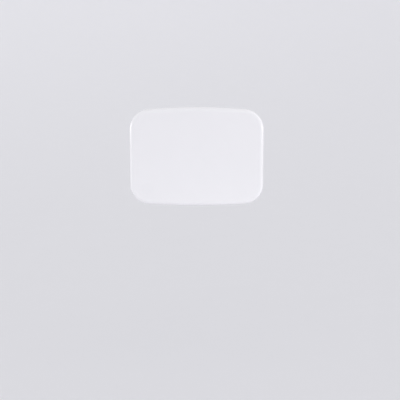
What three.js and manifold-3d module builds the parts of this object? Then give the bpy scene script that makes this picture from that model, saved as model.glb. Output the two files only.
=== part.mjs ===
// Plug-in Wi-Fi range extender: a flat white wall unit on a two-blade mains plug.
// Millimetres, +Z up, the cover faces -Y. The origin lies on the flat rear face, midway between
// the two blades, so the rear face is the plane y = 0 and the blades point to +Y.
import * as THREE from 'three';
import { mergeVertices } from 'three/addons/utils/BufferGeometryUtils.js';
import Module from 'manifold-3d';

const wasm = await Module();
wasm.setup();

// ---- driving dimensions ------------------------------------------------------------------------

// Case
const bodyWidth = 101;
const bodyTop = 54.25;          // above the blade line
const bodyBottom = -20.25;
const bodyDepth = 30;
const cornerRadius = 13.7;
const topBow = 3.0;             // how far the top edge rises between its two ends
const bottomBow = 1.9;
const faceCrownAcross = 1.5;    // how far the front face falls back from its middle to its sides
const faceCrownUp = 0.8;        // and from its middle to its top and bottom
const frontEdgeRadius = 3.0;
const rearEdgeRadius = 1.5;
const rearTaper = 3.5;          // how much each side draws in from the widest section to the back
const wall = 2.0;
const rearWall = 2.2;
const partingY = -12;           // plane where the cover meets the housing
const gap = 0.3;                // clearance between neighbouring pieces
const overlap = 0.2;            // how far a joined solid reaches into its neighbour
const beyond = 100;             // a distance well outside the case, for cuts that run right through

// Tongue of the housing, which enters the cover
const tongueInset = 1.2;        // from the inner face of the side wall to that of the tongue
const tongueReach = 1.6;        // how far it stands past the parting plane
const tongueRootDepth = 2.2;    // depth of the thicker band that carries it

// Plug
const bladeSpacing = 12.7;
const bladeThickness = 1.5;
const bladeLength = 17.5;
const lineBladeWidth = 6.35;
const neutralBladeWidth = 7.94;
const bladeHoleFromFace = 11.9;
const bladeHoleDiameter = 3.2;
const bladeTipChamfer = 1.3;
const bladeTailWidth = 3;
const bladeShoulderY = -3.2;
const bladeTailBeyondBoard = 1.4;
const holderHalfWidth = 13;
const holderHalfHeight = 7.5;
const holderCornerRadius = 2;

// Planes through the depth of the case, from the rear wall to the cover
const holderDepth = 3.7;
const powerBoardY = -rearWall - holderDepth - 2 * gap;
const powerBoardThickness = 1.6;
const powerPartsY = powerBoardY - powerBoardThickness - gap;
const powerPartsHeight = 9;
const sheetThickness = 0.4;
const sheetY = powerPartsY - powerPartsHeight - gap;
const spreaderThickness = 1.2;
const spreaderY = sheetY - sheetThickness - gap;
const padThickness = 0.6;
const padY = spreaderY - spreaderThickness - gap;
const shieldHeight = 1.6;
const shieldY = padY - padThickness - gap;
const logicBoardThickness = 1.0;
const logicBoardY = shieldY - shieldHeight - gap;
const logicFrontY = logicBoardY - logicBoardThickness;

// Boards
const boardBottom = -9;
const boardTop = 37;
const powerBoardWidth = 66;
const logicBoardWidth = 84;
const sheetWidth = 68;
const spreaderWidth = 70;
const spreaderBottom = 3.5;
const spreaderTop = 33;

// Places of the parts on the power board, as [x, z]
const powerPlaces = {
  fuse: [15.5, -2.5],
  varistor: [-16.5, -4],
  safetyCapacitor: [14, 34],
  noiseCapacitor: [0, 9.5],
  choke: [-22.5, 7.5],
  rectifier: [24, 8],
  controller: [-9, 33.5],
  optocoupler: [13.5, 12.5],
  bulkCapacitors: [[-30, 18.5], [-30, 27.5]],
  outputCapacitors: [[26.5, 24], [26.5, 32]],
  inductor: [26.5, 15.5],
  transformer: [3, 24],
};
const barrierSlotX = [19.4, 20.6];
const barrierSlotZ = [12, 31];

// Screws and their bosses
const housingScrewPlaces = [[-36, 42], [36, 42], [-24, -11], [24, -11]];
const bossRadius = 3.6;
const screwHeadRadius = 2.2;
const screwHeadHeight = 1.7;
const screwShankRadius = 1.1;
const screwSeatY = -8;
const screwTipY = -21;
const logicScrewPlaces = [[-38.5, 31], [38.5, 31], [0, -5]];
const powerScrewPlaces = [[-29.5, 33.5], [29.5, 8]];
const smallHeadRadius = 2.0;
const smallHeadHeight = 1.3;
const smallShankRadius = 0.9;
const smallPostRadius = 2.6;
const bossFrontY = -27.6;       // ends of the cover's bosses and posts, inside its front wall
const postFrontY = -28;
const logicPilotEndY = -27;     // ends of the screw holes in the posts and tubes
const powerPilotEndY = -10;
const insideRearY = -1;         // plane in the rear wall where the tubes, posts and tongue forms start
const shankBoreEndY = -20;

// Status light
const lightX = -37.6;
const lightZ = -7.1;
const lightRadius = 4.6;
const lightSkin = 0.7;          // thickness of cover left in front of the light
const lightPocketRearY = -20;

// Reset button, on the side wall at +X, and its travel inwards
const buttonY = -18.3;
const buttonZ = 2;
const buttonHeight = 9;
const buttonDepth = 5;
const buttonProud = 0.5;
const buttonTravel = 0.6;
const buttonCornerRadius = 1.8;
const buttonCutX = 44;          // the hole in the wall runs from here outwards
const buttonCutDepth = 10;
const plungerY = -20.3;

// Antennas
const antennaX = 18;
const antennaZ = 48;
const antennaLength = 30;
const antennaDepth = 9;
const antennaThickness = 0.8;
const antennaRearY = -16;
const leadRadius = 0.57;
const forkSpacing = 10;         // from the middle of an antenna to each of its two forks
const forkHalfThickness = 1.2;
const forkMargin = 1.5;
const forkRearY = -21;
const forkSlotRearY = -20;

const bodyMiddle = (bodyTop + bodyBottom) / 2;
const halfWidth = bodyWidth / 2;
const halfHeight = (bodyTop - bodyBottom) / 2;
const widestY = -bodyDepth + frontEdgeRadius;

// ---- finishes ----------------------------------------------------------------------------------

const finish = (color, roughness, metalness = 0) =>
  new THREE.MeshStandardMaterial({ color, roughness, metalness });

const finishes = {
  caseWhite: finish(0xf3f3f6, 0.22),
  label: finish(0xd9dadd, 0.55),
  bladeMetal: finish(0xc9c4b4, 0.28, 1),
  screwSteel: finish(0x8d8f92, 0.35, 1),
  holderPlastic: finish(0x1f2022, 0.5),
  board: finish(0x1c5a36, 0.45),
  packageBlack: finish(0x17181a, 0.5),
  capacitorSleeve: finish(0x20242e, 0.35),
  filmYellow: finish(0xd8b53a, 0.45),
  discBlue: finish(0x2f5fa8, 0.4),
  ferrite: finish(0x3a3b3e, 0.6),
  windingTape: finish(0xd9c24a, 0.5),
  copper: finish(0xb06a3a, 0.35, 1),
  fuseGlass: finish(0xd6d0c0, 0.3),
  sheetFilm: finish(0xe4e2d6, 0.4),
  aluminium: finish(0xb9bcc0, 0.35, 1),
  shieldTin: finish(0xc3c5c8, 0.3, 1),
  padGrey: finish(0x8b93a5, 0.8),
  lightClear: finish(0xeef2f5, 0.15),
  lightDome: finish(0xf6f1d2, 0.3),
  leadBlack: finish(0x1b1c1e, 0.5),
};

// ---- geometry helpers --------------------------------------------------------------------------

const box = (width, depth, height) => new THREE.BoxGeometry(width, depth, height);

/** Box given by its low and high limits along each axis. */
function span([x0, x1], [y0, y1], [z0, z1]) {
  return box(x1 - x0, y1 - y0, z1 - z0).translate((x0 + x1) / 2, (y0 + y1) / 2, (z0 + z1) / 2);
}

/** Round bar along Y between two planes. */
function barY(radius, x, z, yRear, yFront, sides = 20) {
  const length = yRear - yFront;
  return new THREE.CylinderGeometry(radius, radius, length, sides).translate(x, yRear - length / 2, z);
}

/** Round bar along X. */
const barX = (radius, length, sides = 24) =>
  new THREE.CylinderGeometry(radius, radius, length, sides).rotateZ(Math.PI / 2);

/** Round bar along Z. */
const barZ = (radius, length, sides = 20) =>
  new THREE.CylinderGeometry(radius, radius, length, sides).rotateX(Math.PI / 2);

/** Plate drawn in X and Z, whose thickness runs from y = 0 to the front. */
const plate = (shape, thickness) =>
  new THREE.ExtrudeGeometry(shape, { depth: thickness, bevelEnabled: false, curveSegments: 3 })
    .rotateX(Math.PI / 2);

function roundedRectangle(x0, x1, z0, z1, radius) {
  const shape = new THREE.Shape();
  shape.absarc(x1 - radius, z1 - radius, radius, 0, Math.PI / 2);
  shape.absarc(x0 + radius, z1 - radius, radius, Math.PI / 2, Math.PI);
  shape.absarc(x0 + radius, z0 + radius, radius, Math.PI, 1.5 * Math.PI);
  shape.absarc(x1 - radius, z0 + radius, radius, 1.5 * Math.PI, 2 * Math.PI);
  return shape;
}

function toSolid(geometry) {
  const bare = geometry.clone();
  bare.deleteAttribute('normal');
  bare.deleteAttribute('uv');
  const merged = mergeVertices(bare, 1e-4);
  return new wasm.Manifold(new wasm.Mesh({
    numProp: 3,
    vertProperties: new Float32Array(merged.attributes.position.array),
    triVerts: new Uint32Array(merged.index.array),
  }));
}

function toGeometry(solid) {
  const { vertProperties, triVerts } = solid.getMesh();
  const geometry = new THREE.BufferGeometry();
  geometry.setAttribute('position', new THREE.BufferAttribute(vertProperties, 3));
  geometry.setIndex(new THREE.BufferAttribute(triVerts, 1));
  geometry.computeVertexNormals();
  return geometry;
}

const join = (...geometries) => geometries.map(toSolid).reduce((sum, part) => sum.add(part));
const cut = (solid, ...geometries) => solid.subtract(join(...geometries));

const model = new THREE.Group();

function piece(name, geometry, material, [x, y, z] = [0, 0, 0]) {
  const mesh = new THREE.Mesh(geometry, material);
  mesh.name = name;
  mesh.position.set(x, y, z);
  model.add(mesh);
  return mesh;
}

// ---- case form ---------------------------------------------------------------------------------

const cornerSteps = 6;
const longEdgeSteps = 6;
const shortEdgeSteps = 3;

/** Points of the case outline drawn in by an inset; every inset gives the same number of points. */
function outline(inset) {
  const plainTop = bodyTop - topBow;
  const plainBottom = bodyBottom + bottomBow;
  const radius = Math.max(cornerRadius - inset, 1);
  const points = [];
  const quadrants = [[1, plainTop - inset - radius], [-1, plainTop - inset - radius],
    [-1, plainBottom + inset + radius], [1, plainBottom + inset + radius]];
  for (const [quadrant, [side, centreZ]] of quadrants.entries()) {
    const centreX = side * (halfWidth - inset - radius);
    for (let step = 0; step <= cornerSteps; step++) {
      const angle = (quadrant + step / cornerSteps) * Math.PI / 2;
      const x = centreX + radius * Math.cos(angle);
      points.push(new THREE.Vector2(x, centreZ + radius * Math.sin(angle)));
    }
    const [nextSide, nextZ] = quadrants[(quadrant + 1) % 4];
    const start = points[points.length - 1];
    const nextAngle = (quadrant + 1) * Math.PI / 2;
    const end = new THREE.Vector2(
      nextSide * (halfWidth - inset - radius) + radius * Math.cos(nextAngle),
      nextZ + radius * Math.sin(nextAngle));
    const steps = quadrant % 2 ? shortEdgeSteps : longEdgeSteps;
    for (let step = 1; step < steps; step++) {
      points.push(start.clone().lerp(end, step / steps));
    }
  }
  for (const point of points) {
    const across = 1 - (point.x / halfWidth) ** 2;
    const up = (point.y - plainBottom) / (plainTop - plainBottom);
    point.y += across * THREE.MathUtils.lerp(-bottomBow, topBow, up);
  }
  return points;
}

/** Depth of the domed front face over a point of the outline plane. */
const faceY = (x, z) => -bodyDepth + faceCrownAcross * (x / halfWidth) ** 2
  + faceCrownUp * ((z - bodyMiddle) / halfHeight) ** 2;

/** How far the side wall is drawn in at a depth y. */
const taperAt = (y) => rearTaper * Math.max(0, (y - widestY) / -widestY) ** 2;

/** The whole closed case form, moved inwards by an offset, with its back at rearY. */
function caseForm(offset, rearY) {
  const rings = [];
  const edge = Math.max(frontEdgeRadius - offset, 0.8);
  const rim = outline(offset + edge);
  for (const scale of [0.25, 0.5, 0.75]) {
    rings.push(rim.map((point) => {
      const x = point.x * scale;
      const z = bodyMiddle + (point.y - bodyMiddle) * scale;
      return new THREE.Vector3(x, faceY(x, z) + offset, z);
    }));
  }
  const edgeSteps = 4;
  for (let step = 0; step <= edgeSteps; step++) {
    const angle = step / edgeSteps * Math.PI / 2;
    const drop = edge * (1 - Math.cos(angle));
    rings.push(outline(offset + edge * (1 - Math.sin(angle)))
      .map((point) => new THREE.Vector3(point.x, faceY(point.x, point.y) + offset + drop, point.y)));
  }
  const rearEdge = Math.max(rearEdgeRadius - offset, 0.5);
  for (const y of [-19, partingY, -6, rearY - rearEdge]) {
    rings.push(outline(offset + taperAt(y)).map((point) => new THREE.Vector3(point.x, y, point.y)));
  }
  const rearInset = offset + taperAt(rearY - rearEdge);
  for (const angle of [Math.PI / 4, Math.PI / 2]) {
    const y = rearY - rearEdge * (1 - Math.sin(angle));
    rings.push(outline(rearInset + rearEdge * (1 - Math.cos(angle)))
      .map((point) => new THREE.Vector3(point.x, y, point.y)));
  }
  return loft(rings, new THREE.Vector3(0, faceY(0, bodyMiddle) + offset, bodyMiddle),
    new THREE.Vector3(0, rearY, 0));
}

/** Closed skin over rings of equal length, with a fan to a point at each end. */
function loft(rings, first, last) {
  const count = rings[0].length;
  const vertices = [first, ...rings.flat(), last];
  const lastIndex = vertices.length - 1;
  const index = [];
  for (let i = 0; i < count; i++) {
    const next = (i + 1) % count;
    index.push(0, 1 + i, 1 + next);
    for (let ring = 0; ring < rings.length - 1; ring++) {
      const near = 1 + ring * count;
      const far = near + count;
      index.push(near + i, far + i, near + next, near + next, far + i, far + next);
    }
    const rim = 1 + (rings.length - 1) * count;
    index.push(lastIndex, rim + next, rim + i);
  }
  const geometry = new THREE.BufferGeometry();
  geometry.setFromPoints(vertices);
  geometry.setIndex(index);
  return geometry;
}

const slab = (yRear, yFront) => toSolid(span([-beyond, beyond], [yFront, yRear], [-beyond, beyond]));
const outerForm = toSolid(caseForm(0, 0));
const innerForm = toSolid(caseForm(wall, -rearWall));
const shell = outerForm.subtract(innerForm);

/** Turned solid about Y from [radius, y] pairs, listed from low y to high. */
const lathe = (profile, sides) =>
  new THREE.LatheGeometry(profile.map(([radius, y]) => new THREE.Vector2(radius, y)), sides);

const mirrored = (makeOne) => [-1, 1].map(makeOne);

// ---- front cover -------------------------------------------------------------------------------

/** Plate drawn in Y and Z, whose thickness runs from x towards +X. */
function sidePlate(shape, thickness, x) {
  return new THREE.ExtrudeGeometry(shape, { depth: thickness, bevelEnabled: false, curveSegments: 5 })
    .rotateX(Math.PI / 2).rotateZ(Math.PI / 2).translate(x, 0, 0);
}

/** Outline of the reset button in Y and Z, grown by a margin. */
const buttonOutline = (margin) => roundedRectangle(
  buttonY - buttonDepth / 2 - margin, buttonY + buttonDepth / 2 + margin,
  buttonZ - buttonHeight / 2 - margin, buttonZ + buttonHeight / 2 + margin,
  buttonCornerRadius + margin);

/** Forked rib on the cover that holds the edge of an antenna board. */
function antennaFork(x) {
  const outer = span([x - forkHalfThickness, x + forkHalfThickness], [postFrontY, forkRearY],
    [antennaZ - forkMargin, antennaZ + antennaThickness + forkMargin]);
  const slot = span([x - 2 * forkHalfThickness, x + 2 * forkHalfThickness],
    [antennaRearY - antennaDepth - gap, forkSlotRearY],
    [antennaZ - gap, antennaZ + antennaThickness + gap]);
  return cut(toSolid(outer), slot);
}

function makeFrontCover() {
  let cover = shell.intersect(slab(partingY - gap / 2, -beyond));
  const bosses = housingScrewPlaces.map(([x, z]) => barY(bossRadius, x, z, partingY - 1, bossFrontY, 14));
  const posts = logicScrewPlaces.map(([x, z]) =>
    barY(smallPostRadius, x, z, logicFrontY - gap, postFrontY, 12));
  cover = cover.add(join(...bosses, ...posts));
  for (const side of [-1, 1]) {
    for (const x of [antennaX - forkSpacing, antennaX + forkSpacing]) {
      cover = cover.add(antennaFork(side * x));
    }
  }
  cover = cover.intersect(outerForm);
  const boreRadius = screwShankRadius + gap;
  const bores = housingScrewPlaces.map(([x, z]) => barY(boreRadius, x, z, 0, screwTipY - 1, 12));
  const pilots = logicScrewPlaces.map(([x, z]) =>
    barY(smallShankRadius + gap, x, z, 0, logicPilotEndY, 12));
  const lightPocket = barY(lightRadius + gap, lightX, lightZ, lightPocketRearY,
    faceY(lightX, lightZ) + lightSkin, 24);
  const buttonHole = sidePlate(buttonOutline(gap), buttonCutDepth, buttonCutX);
  return cut(cover, ...bores, ...pilots, lightPocket, buttonHole);
}

piece('front_cover', toGeometry(makeFrontCover()), finishes.caseWhite);

// ---- rear housing ------------------------------------------------------------------------------

const ventPitch = 4;
const ventWidth = 1.6;
const ventCount = 9;
const ventDepth = [-9, -3.5];
const ventWalls = [[46, 60], [-25, -12.5]];   // heights that the cuts span, in the top and bottom walls
const labelWidth = 46;
const labelHeight = 20;
const labelMiddle = 27;
const labelRecess = 0.6;
const labelCornerRadius = 2;

/** Slots through the top and bottom walls, in a row centred on the case. */
function vents() {
  const slots = [];
  for (let i = 0; i < ventCount; i++) {
    const x = (i - (ventCount - 1) / 2) * ventPitch;
    for (const heights of ventWalls) {
      slots.push(span([x - ventWidth / 2, x + ventWidth / 2], ventDepth, heights));
    }
  }
  return slots;
}

function makeRearHousing() {
  const partingRear = partingY + gap / 2;
  const tongueInner = toSolid(caseForm(wall + tongueInset, insideRearY));
  const tongueOuter = toSolid(caseForm(wall + gap, insideRearY)).subtract(tongueInner);
  const rootOuter = toSolid(caseForm(wall - overlap, insideRearY)).subtract(tongueInner);
  const tongue = tongueOuter.intersect(slab(partingRear + overlap, partingY - tongueReach));
  const root = rootOuter.intersect(slab(partingRear + tongueRootDepth, partingRear));
  let housing = shell.intersect(slab(beyond, partingRear)).add(tongue).add(root);
  const tubes = housingScrewPlaces.map(([x, z]) =>
    barY(bossRadius, x, z, insideRearY, partingY - 1 + gap, 14));
  const posts = powerScrewPlaces.map(([x, z]) =>
    barY(smallPostRadius, x, z, insideRearY, powerBoardY + gap, 12));
  housing = housing.add(join(...tubes, ...posts)).intersect(outerForm);
  const headBores = housingScrewPlaces.map(([x, z]) =>
    barY(screwHeadRadius + gap, x, z, 1, screwSeatY, 14));
  const shankBores = housingScrewPlaces.map(([x, z]) =>
    barY(screwShankRadius + gap, x, z, 1, shankBoreEndY, 12));
  const pilots = powerScrewPlaces.map(([x, z]) =>
    barY(smallShankRadius + gap, x, z, -rearWall, powerPilotEndY, 12));
  const bladeSlots = mirrored((side) => {
    const half = (side < 0 ? neutralBladeWidth : lineBladeWidth) / 2 + gap;
    const x = side * bladeSpacing / 2;
    return span([x - bladeThickness / 2 - gap, x + bladeThickness / 2 + gap],
      [-rearWall - 1, 1], [-half, half]);
  });
  const labelShape = roundedRectangle(-labelWidth / 2, labelWidth / 2, labelMiddle - labelHeight / 2,
    labelMiddle + labelHeight / 2, labelCornerRadius);
  const recess = plate(labelShape, labelRecess + 1).translate(0, 1, 0);
  return cut(housing, ...headBores, ...shankBores, ...pilots, ...bladeSlots, recess, ...vents());
}

piece('rear_housing', toGeometry(makeRearHousing()), finishes.caseWhite);

const labelInset = 0.4;
const labelThickness = 0.3;
const labelY = -0.15;
piece('rating_label', plate(roundedRectangle(labelInset - labelWidth / 2, labelWidth / 2 - labelInset,
  labelMiddle - labelHeight / 2 + labelInset, labelMiddle + labelHeight / 2 - labelInset,
  labelCornerRadius - labelInset), labelThickness), finishes.label, [0, labelY, 0]);

/** Pan-head screw along Y with a cross recess in its head; its seat is at y = 0 and it points to -Y. */
function screw(headRadius, headHeight, shankRadius, length) {
  const profile = [[0, -length], [shankRadius * 0.35, -length], [shankRadius, -length + shankRadius],
    [shankRadius, 0], [headRadius, 0], [headRadius, headHeight * 0.5], [headRadius * 0.6, headHeight],
    [0, headHeight]];
  const body = toSolid(lathe(profile, 12));
  const arm = headRadius * 1.1;
  const recessDepth = headHeight * 0.55;
  const bar = box(arm, recessDepth * 2, arm * 0.24).translate(0, headHeight, 0);
  return toGeometry(cut(body, bar, bar.clone().rotateY(Math.PI / 2)));
}

const housingScrew = screw(screwHeadRadius, screwHeadHeight, screwShankRadius,
  screwSeatY + gap - screwTipY);
for (const [i, [x, z]] of housingScrewPlaces.entries()) {
  piece(`housing_screw_${i + 1}`, housingScrew, finishes.screwSteel, [x, screwSeatY + gap, z]);
}

// ---- plug --------------------------------------------------------------------------------------

/** Flat blade with a chamfered tip, a round hole and a narrow tail for the board. */
function blade(width) {
  const half = width / 2;
  const tail = bladeTailWidth / 2;
  const tailEnd = powerBoardY - powerBoardThickness - bladeTailBeyondBoard;
  const chamfer = bladeTipChamfer;
  // Drawn with x along the blade and y across it.
  const shape = new THREE.Shape([
    [tailEnd, -tail], [bladeShoulderY, -tail], [bladeShoulderY, -half],
    [bladeLength - chamfer, -half], [bladeLength, -half + chamfer],
    [bladeLength, half - chamfer], [bladeLength - chamfer, half],
    [bladeShoulderY, half], [bladeShoulderY, tail], [tailEnd, tail],
  ].map(([along, across]) => new THREE.Vector2(along, across)));
  const hole = new THREE.Path();
  hole.absarc(bladeHoleFromFace, 0, bladeHoleDiameter / 2, 0, 2 * Math.PI, true);
  shape.holes.push(hole);
  const options = { depth: bladeThickness, bevelEnabled: false, curveSegments: 12 };
  return new THREE.ExtrudeGeometry(shape, options)
    .rotateX(Math.PI / 2).rotateZ(Math.PI / 2).translate(-bladeThickness / 2, 0, 0);
}

piece('neutral_blade', blade(neutralBladeWidth), finishes.bladeMetal, [-bladeSpacing / 2, 0, 0]);
piece('line_blade', blade(lineBladeWidth), finishes.bladeMetal, [bladeSpacing / 2, 0, 0]);

function makeBladeHolder() {
  const holderY = -rearWall - gap;
  const shape = roundedRectangle(-holderHalfWidth, holderHalfWidth, -holderHalfHeight, holderHalfHeight,
    holderCornerRadius);
  const body = toSolid(plate(shape, holderDepth).translate(0, holderY, 0));
  const slots = mirrored((side) => {
    const x = side * bladeSpacing / 2;
    const half = (side < 0 ? neutralBladeWidth : lineBladeWidth) / 2 + gap;
    const across = [x - bladeThickness / 2 - gap, x + bladeThickness / 2 + gap];
    const tail = bladeTailWidth / 2 + gap;
    return [span(across, [bladeShoulderY - gap, 0], [-half, half]),
      span(across, [-beyond, 0], [-tail, tail])];
  });
  return cut(body, ...slots.flat());
}

piece('blade_holder', toGeometry(makeBladeHolder()), finishes.holderPlastic);

// ---- power board -------------------------------------------------------------------------------

/** Half-round clearances in the boards' lower edge where the two lower bosses pass. */
const bossClearances = housingScrewPlaces.map(([x, z]) =>
  barY(bossRadius + 2 * gap, x, z, 0, -beyond, 16));

function makePowerBoard() {
  const half = powerBoardWidth / 2;
  const body = toSolid(plate(roundedRectangle(-half, half, boardBottom, boardTop, 1.5), powerBoardThickness)
    .translate(0, powerBoardY, 0));
  const tails = mirrored((side) => {
    const x = side * bladeSpacing / 2;
    const tail = bladeTailWidth / 2 + gap;
    return span([x - bladeThickness / 2 - gap, x + bladeThickness / 2 + gap], [-beyond, 0], [-tail, tail]);
  });
  const holes = powerScrewPlaces.map(([x, z]) =>
    barY(smallShankRadius + gap, x, z, 0, -beyond, 12));
  // Slot that parts the mains side from the low-voltage side.
  const barrier = span(barrierSlotX, [-beyond, 0], barrierSlotZ);
  return cut(body, ...tails, ...holes, ...bossClearances, barrier);
}

piece('power_board', toGeometry(makePowerBoard()), finishes.board);

const smallScrewLength = 5;
const powerScrew = screw(smallHeadRadius, smallHeadHeight, smallShankRadius, smallScrewLength);
for (const [i, [x, z]] of powerScrewPlaces.entries()) {
  // The head is on the front of the board, so the screw is turned to point to +Y.
  const mesh = piece(`power_board_screw_${i + 1}`, powerScrew, finishes.screwSteel, [x, powerPartsY, z]);
  mesh.rotation.x = Math.PI;
}

// ---- mains components --------------------------------------------------------------------------

/** Where a part stands on the power board, with its own origin raised off it. */
const onPowerBoard = ([x, z], rise = 0) => [x, powerPartsY - rise, z];

const fuseRadius = 1.8;
const fuseLength = 7;
const fuseCapLength = 1.4;
const fuseCaps = mirrored((side) => barZ(fuseRadius + 0.15, fuseCapLength)
  .translate(0, 0, side * (fuseLength / 2 - gap)));
piece('fuse', toGeometry(join(barZ(fuseRadius, fuseLength), ...fuseCaps)), finishes.fuseGlass,
  onPowerBoard(powerPlaces.fuse, fuseRadius + 0.4));

/** Flattened disc on two flat leads that reach towards the board. */
function disc(radius, thickness) {
  const leadX = radius * 0.6;
  const leadHalf = 0.3;
  const leads = mirrored((side) => span([side * leadX, side * (leadX - 2 * leadHalf)].sort((a, b) => a - b),
    [0, radius + leadHalf], [-leadHalf, leadHalf]));
  const body = new THREE.SphereGeometry(radius, 14, 8).scale(1, 1, thickness / (2 * radius));
  return toGeometry(join(body, ...leads));
}

const varistorRadius = 3.8;
const safetyCapacitorRadius = 3.4;
piece('varistor', disc(varistorRadius, 3.4), finishes.discBlue,
  onPowerBoard(powerPlaces.varistor, varistorRadius + 0.4));
piece('safety_capacitor', disc(safetyCapacitorRadius, 3.2), finishes.discBlue,
  onPowerBoard(powerPlaces.safetyCapacitor, safetyCapacitorRadius + 0.5));

const filmCapacitorHeight = 8;
piece('noise_capacitor', box(13, filmCapacitorHeight, 6), finishes.filmYellow,
  onPowerBoard(powerPlaces.noiseCapacitor, filmCapacitorHeight / 2));

/** Ring core wound with two separate coils, one on each side. */
function makeChoke() {
  const turnsPerSide = 5;
  const turnPitch = 0.42;       // angle between neighbouring turns, in radians
  const meanRadius = 4;
  const halfRing = 1.6;
  const halfDepth = 2.2;
  const inner = meanRadius - halfRing;
  const outer = meanRadius + halfRing;
  const core = lathe([[inner, -halfDepth], [outer, -halfDepth], [outer, halfDepth],
    [inner, halfDepth], [inner, -halfDepth]], 20);
  const turns = [];
  for (const side of [0, Math.PI]) {
    for (let i = 0; i < turnsPerSide; i++) {
      const angle = side + (i - (turnsPerSide - 1) / 2) * turnPitch;
      turns.push(box(5, 6, 1.1).translate(meanRadius, 0, 0).rotateY(angle));
    }
  }
  return join(core, ...turns);
}

const chokeRise = 3.1;
piece('common_mode_choke', toGeometry(makeChoke()), finishes.copper,
  onPowerBoard(powerPlaces.choke, chokeRise));

/** Flat chip package with a row of flat legs along two sides. */
function chipPackage(width, height, thickness, legs, legPitch, legReach) {
  const body = box(width, thickness, height).translate(0, -thickness / 2, 0);
  const feet = [];
  const foot = height / 2 + legReach;
  const knee = height / 2 + legReach / 2;
  for (let i = 0; i < legs; i++) {
    const x = (i - (legs - 1) / 2) * legPitch;
    const across = [x - legPitch * 0.18, x + legPitch * 0.18];
    feet.push(span(across, [-0.25, 0], [-foot, foot]), span(across, [-thickness / 2, -0.1], [-knee, knee]));
  }
  return toGeometry(join(body, ...feet));
}

piece('bridge_rectifier', chipPackage(5, 4, 2.4, 2, 2.5, 1), finishes.packageBlack,
  onPowerBoard(powerPlaces.rectifier));
piece('power_controller_chip', chipPackage(5, 3.9, 1.5, 4, 1.27, 1), finishes.packageBlack,
  onPowerBoard(powerPlaces.controller));
piece('optocoupler', chipPackage(4.6, 6.4, 3.4, 2, 2.54, 1.2), finishes.packageBlack,
  onPowerBoard(powerPlaces.optocoupler));

/** Electrolytic capacitor can along +X from its sealed end, with a rolled neck. */
function can(radius, length) {
  return lathe([[0, 0], [radius, 0], [radius, 1.4], [radius * 0.9, 1.9], [radius, 2.4],
    [radius, length - 0.4], [radius * 0.93, length], [0, length]], 18);
}

const bulkRadius = 4;
const bulkLength = 14;
for (const [i, place] of powerPlaces.bulkCapacitors.entries()) {
  piece(`bulk_capacitor_${i + 1}`, can(bulkRadius, bulkLength).rotateZ(-Math.PI / 2),
    finishes.capacitorSleeve, onPowerBoard(place, bulkRadius));
}

const outputRadius = 3.15;
const outputLength = 8.5;
for (const [i, place] of powerPlaces.outputCapacitors.entries()) {
  piece(`output_capacitor_${i + 1}`, can(outputRadius, outputLength).rotateX(Math.PI),
    finishes.capacitorSleeve, onPowerBoard(place));
}

const drumRadius = 3;
const drumHeight = 5;
const drumFlange = 1;
piece('output_inductor', toGeometry(join(
  barY(drumRadius, 0, 0, 0, -drumFlange),
  barY(drumRadius - 0.4, 0, 0, -drumFlange / 2, drumFlange / 2 - drumHeight),
  barY(drumRadius, 0, 0, drumFlange - drumHeight, -drumHeight))),
finishes.ferrite, onPowerBoard(powerPlaces.inductor));

// Transformer: a closed ferrite frame whose centre leg runs along X through the winding.
const transformerRise = 4.9;
const coreHalfX = 7.5;
const coreHalfZ = 6.6;
const coreHalfY = 3;
const legHalf = 1.7;
const windowOuter = 4.9;
const windingHalfX = 4.4;
const windingHalfY = 3.9;
const bobbinHalfX = 6;
const bobbinHalfZ = 9;

function makeTransformerCore() {
  const frame = toSolid(box(2 * coreHalfX, 2 * coreHalfY, 2 * coreHalfZ));
  const windows = mirrored((side) => {
    const limits = [side * legHalf, side * windowOuter].sort((a, b) => a - b);
    return span([-windingHalfX - 2 * gap, windingHalfX + 2 * gap], [-beyond, beyond], limits);
  });
  return cut(frame, ...windows);
}

function makeTransformerWinding() {
  const outer = toSolid(box(2 * windingHalfX, 2 * windingHalfY, 2 * (windowOuter - gap)));
  return cut(outer, box(beyond, 2 * (coreHalfY + gap), 2 * (legHalf + gap)));
}

function makeTransformerBobbin() {
  const across = [-bobbinHalfX, bobbinHalfX];
  const base = span(across, [-0.6, 0], [-bobbinHalfZ, bobbinHalfZ]);
  const rails = mirrored((side) => {
    const limits = [side * (coreHalfZ + gap), side * bobbinHalfZ].sort((a, b) => a - b);
    return span(across, [-3, 0], limits);
  });
  const pins = [];
  for (const side of [-1, 1]) {
    for (let i = 0; i < 4; i++) {
      const x = (i - 1.5) * 3;
      pins.push(span([x - 0.35, x + 0.35], [-3.6, -0.2], [side * 8.1 - 0.35, side * 8.1 + 0.35]));
    }
  }
  return join(base, ...rails, ...pins);
}

const transformerPlace = onPowerBoard(powerPlaces.transformer, transformerRise);
piece('transformer_core', toGeometry(makeTransformerCore()), finishes.ferrite, transformerPlace);
piece('transformer_winding', toGeometry(makeTransformerWinding()), finishes.windingTape, transformerPlace);
piece('transformer_bobbin', toGeometry(makeTransformerBobbin()), finishes.holderPlastic,
  onPowerBoard(powerPlaces.transformer));

// ---- link between the boards -------------------------------------------------------------------

const linkX = 27.5;
const linkZ = -1.5;
const linkWidth = 10;
const linkHeight = 5;
const headerDepth = 3;
const pinEndY = -11;

function linkPins() {
  const pins = [];
  for (let column = 0; column < 4; column++) {
    for (const row of [-1, 1]) {
      const x = (column - 1.5) * 2.2;
      pins.push(span([x - 0.3, x + 0.3], [pinEndY, -headerDepth + 0.5], [row * 1.1 - 0.3, row * 1.1 + 0.3]));
    }
  }
  return pins;
}

piece('board_header', toGeometry(join(span([-linkWidth / 2, linkWidth / 2], [-headerDepth, 0],
  [-linkHeight / 2, linkHeight / 2]), ...linkPins())), finishes.packageBlack, [linkX, powerPartsY, linkZ]);

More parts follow.
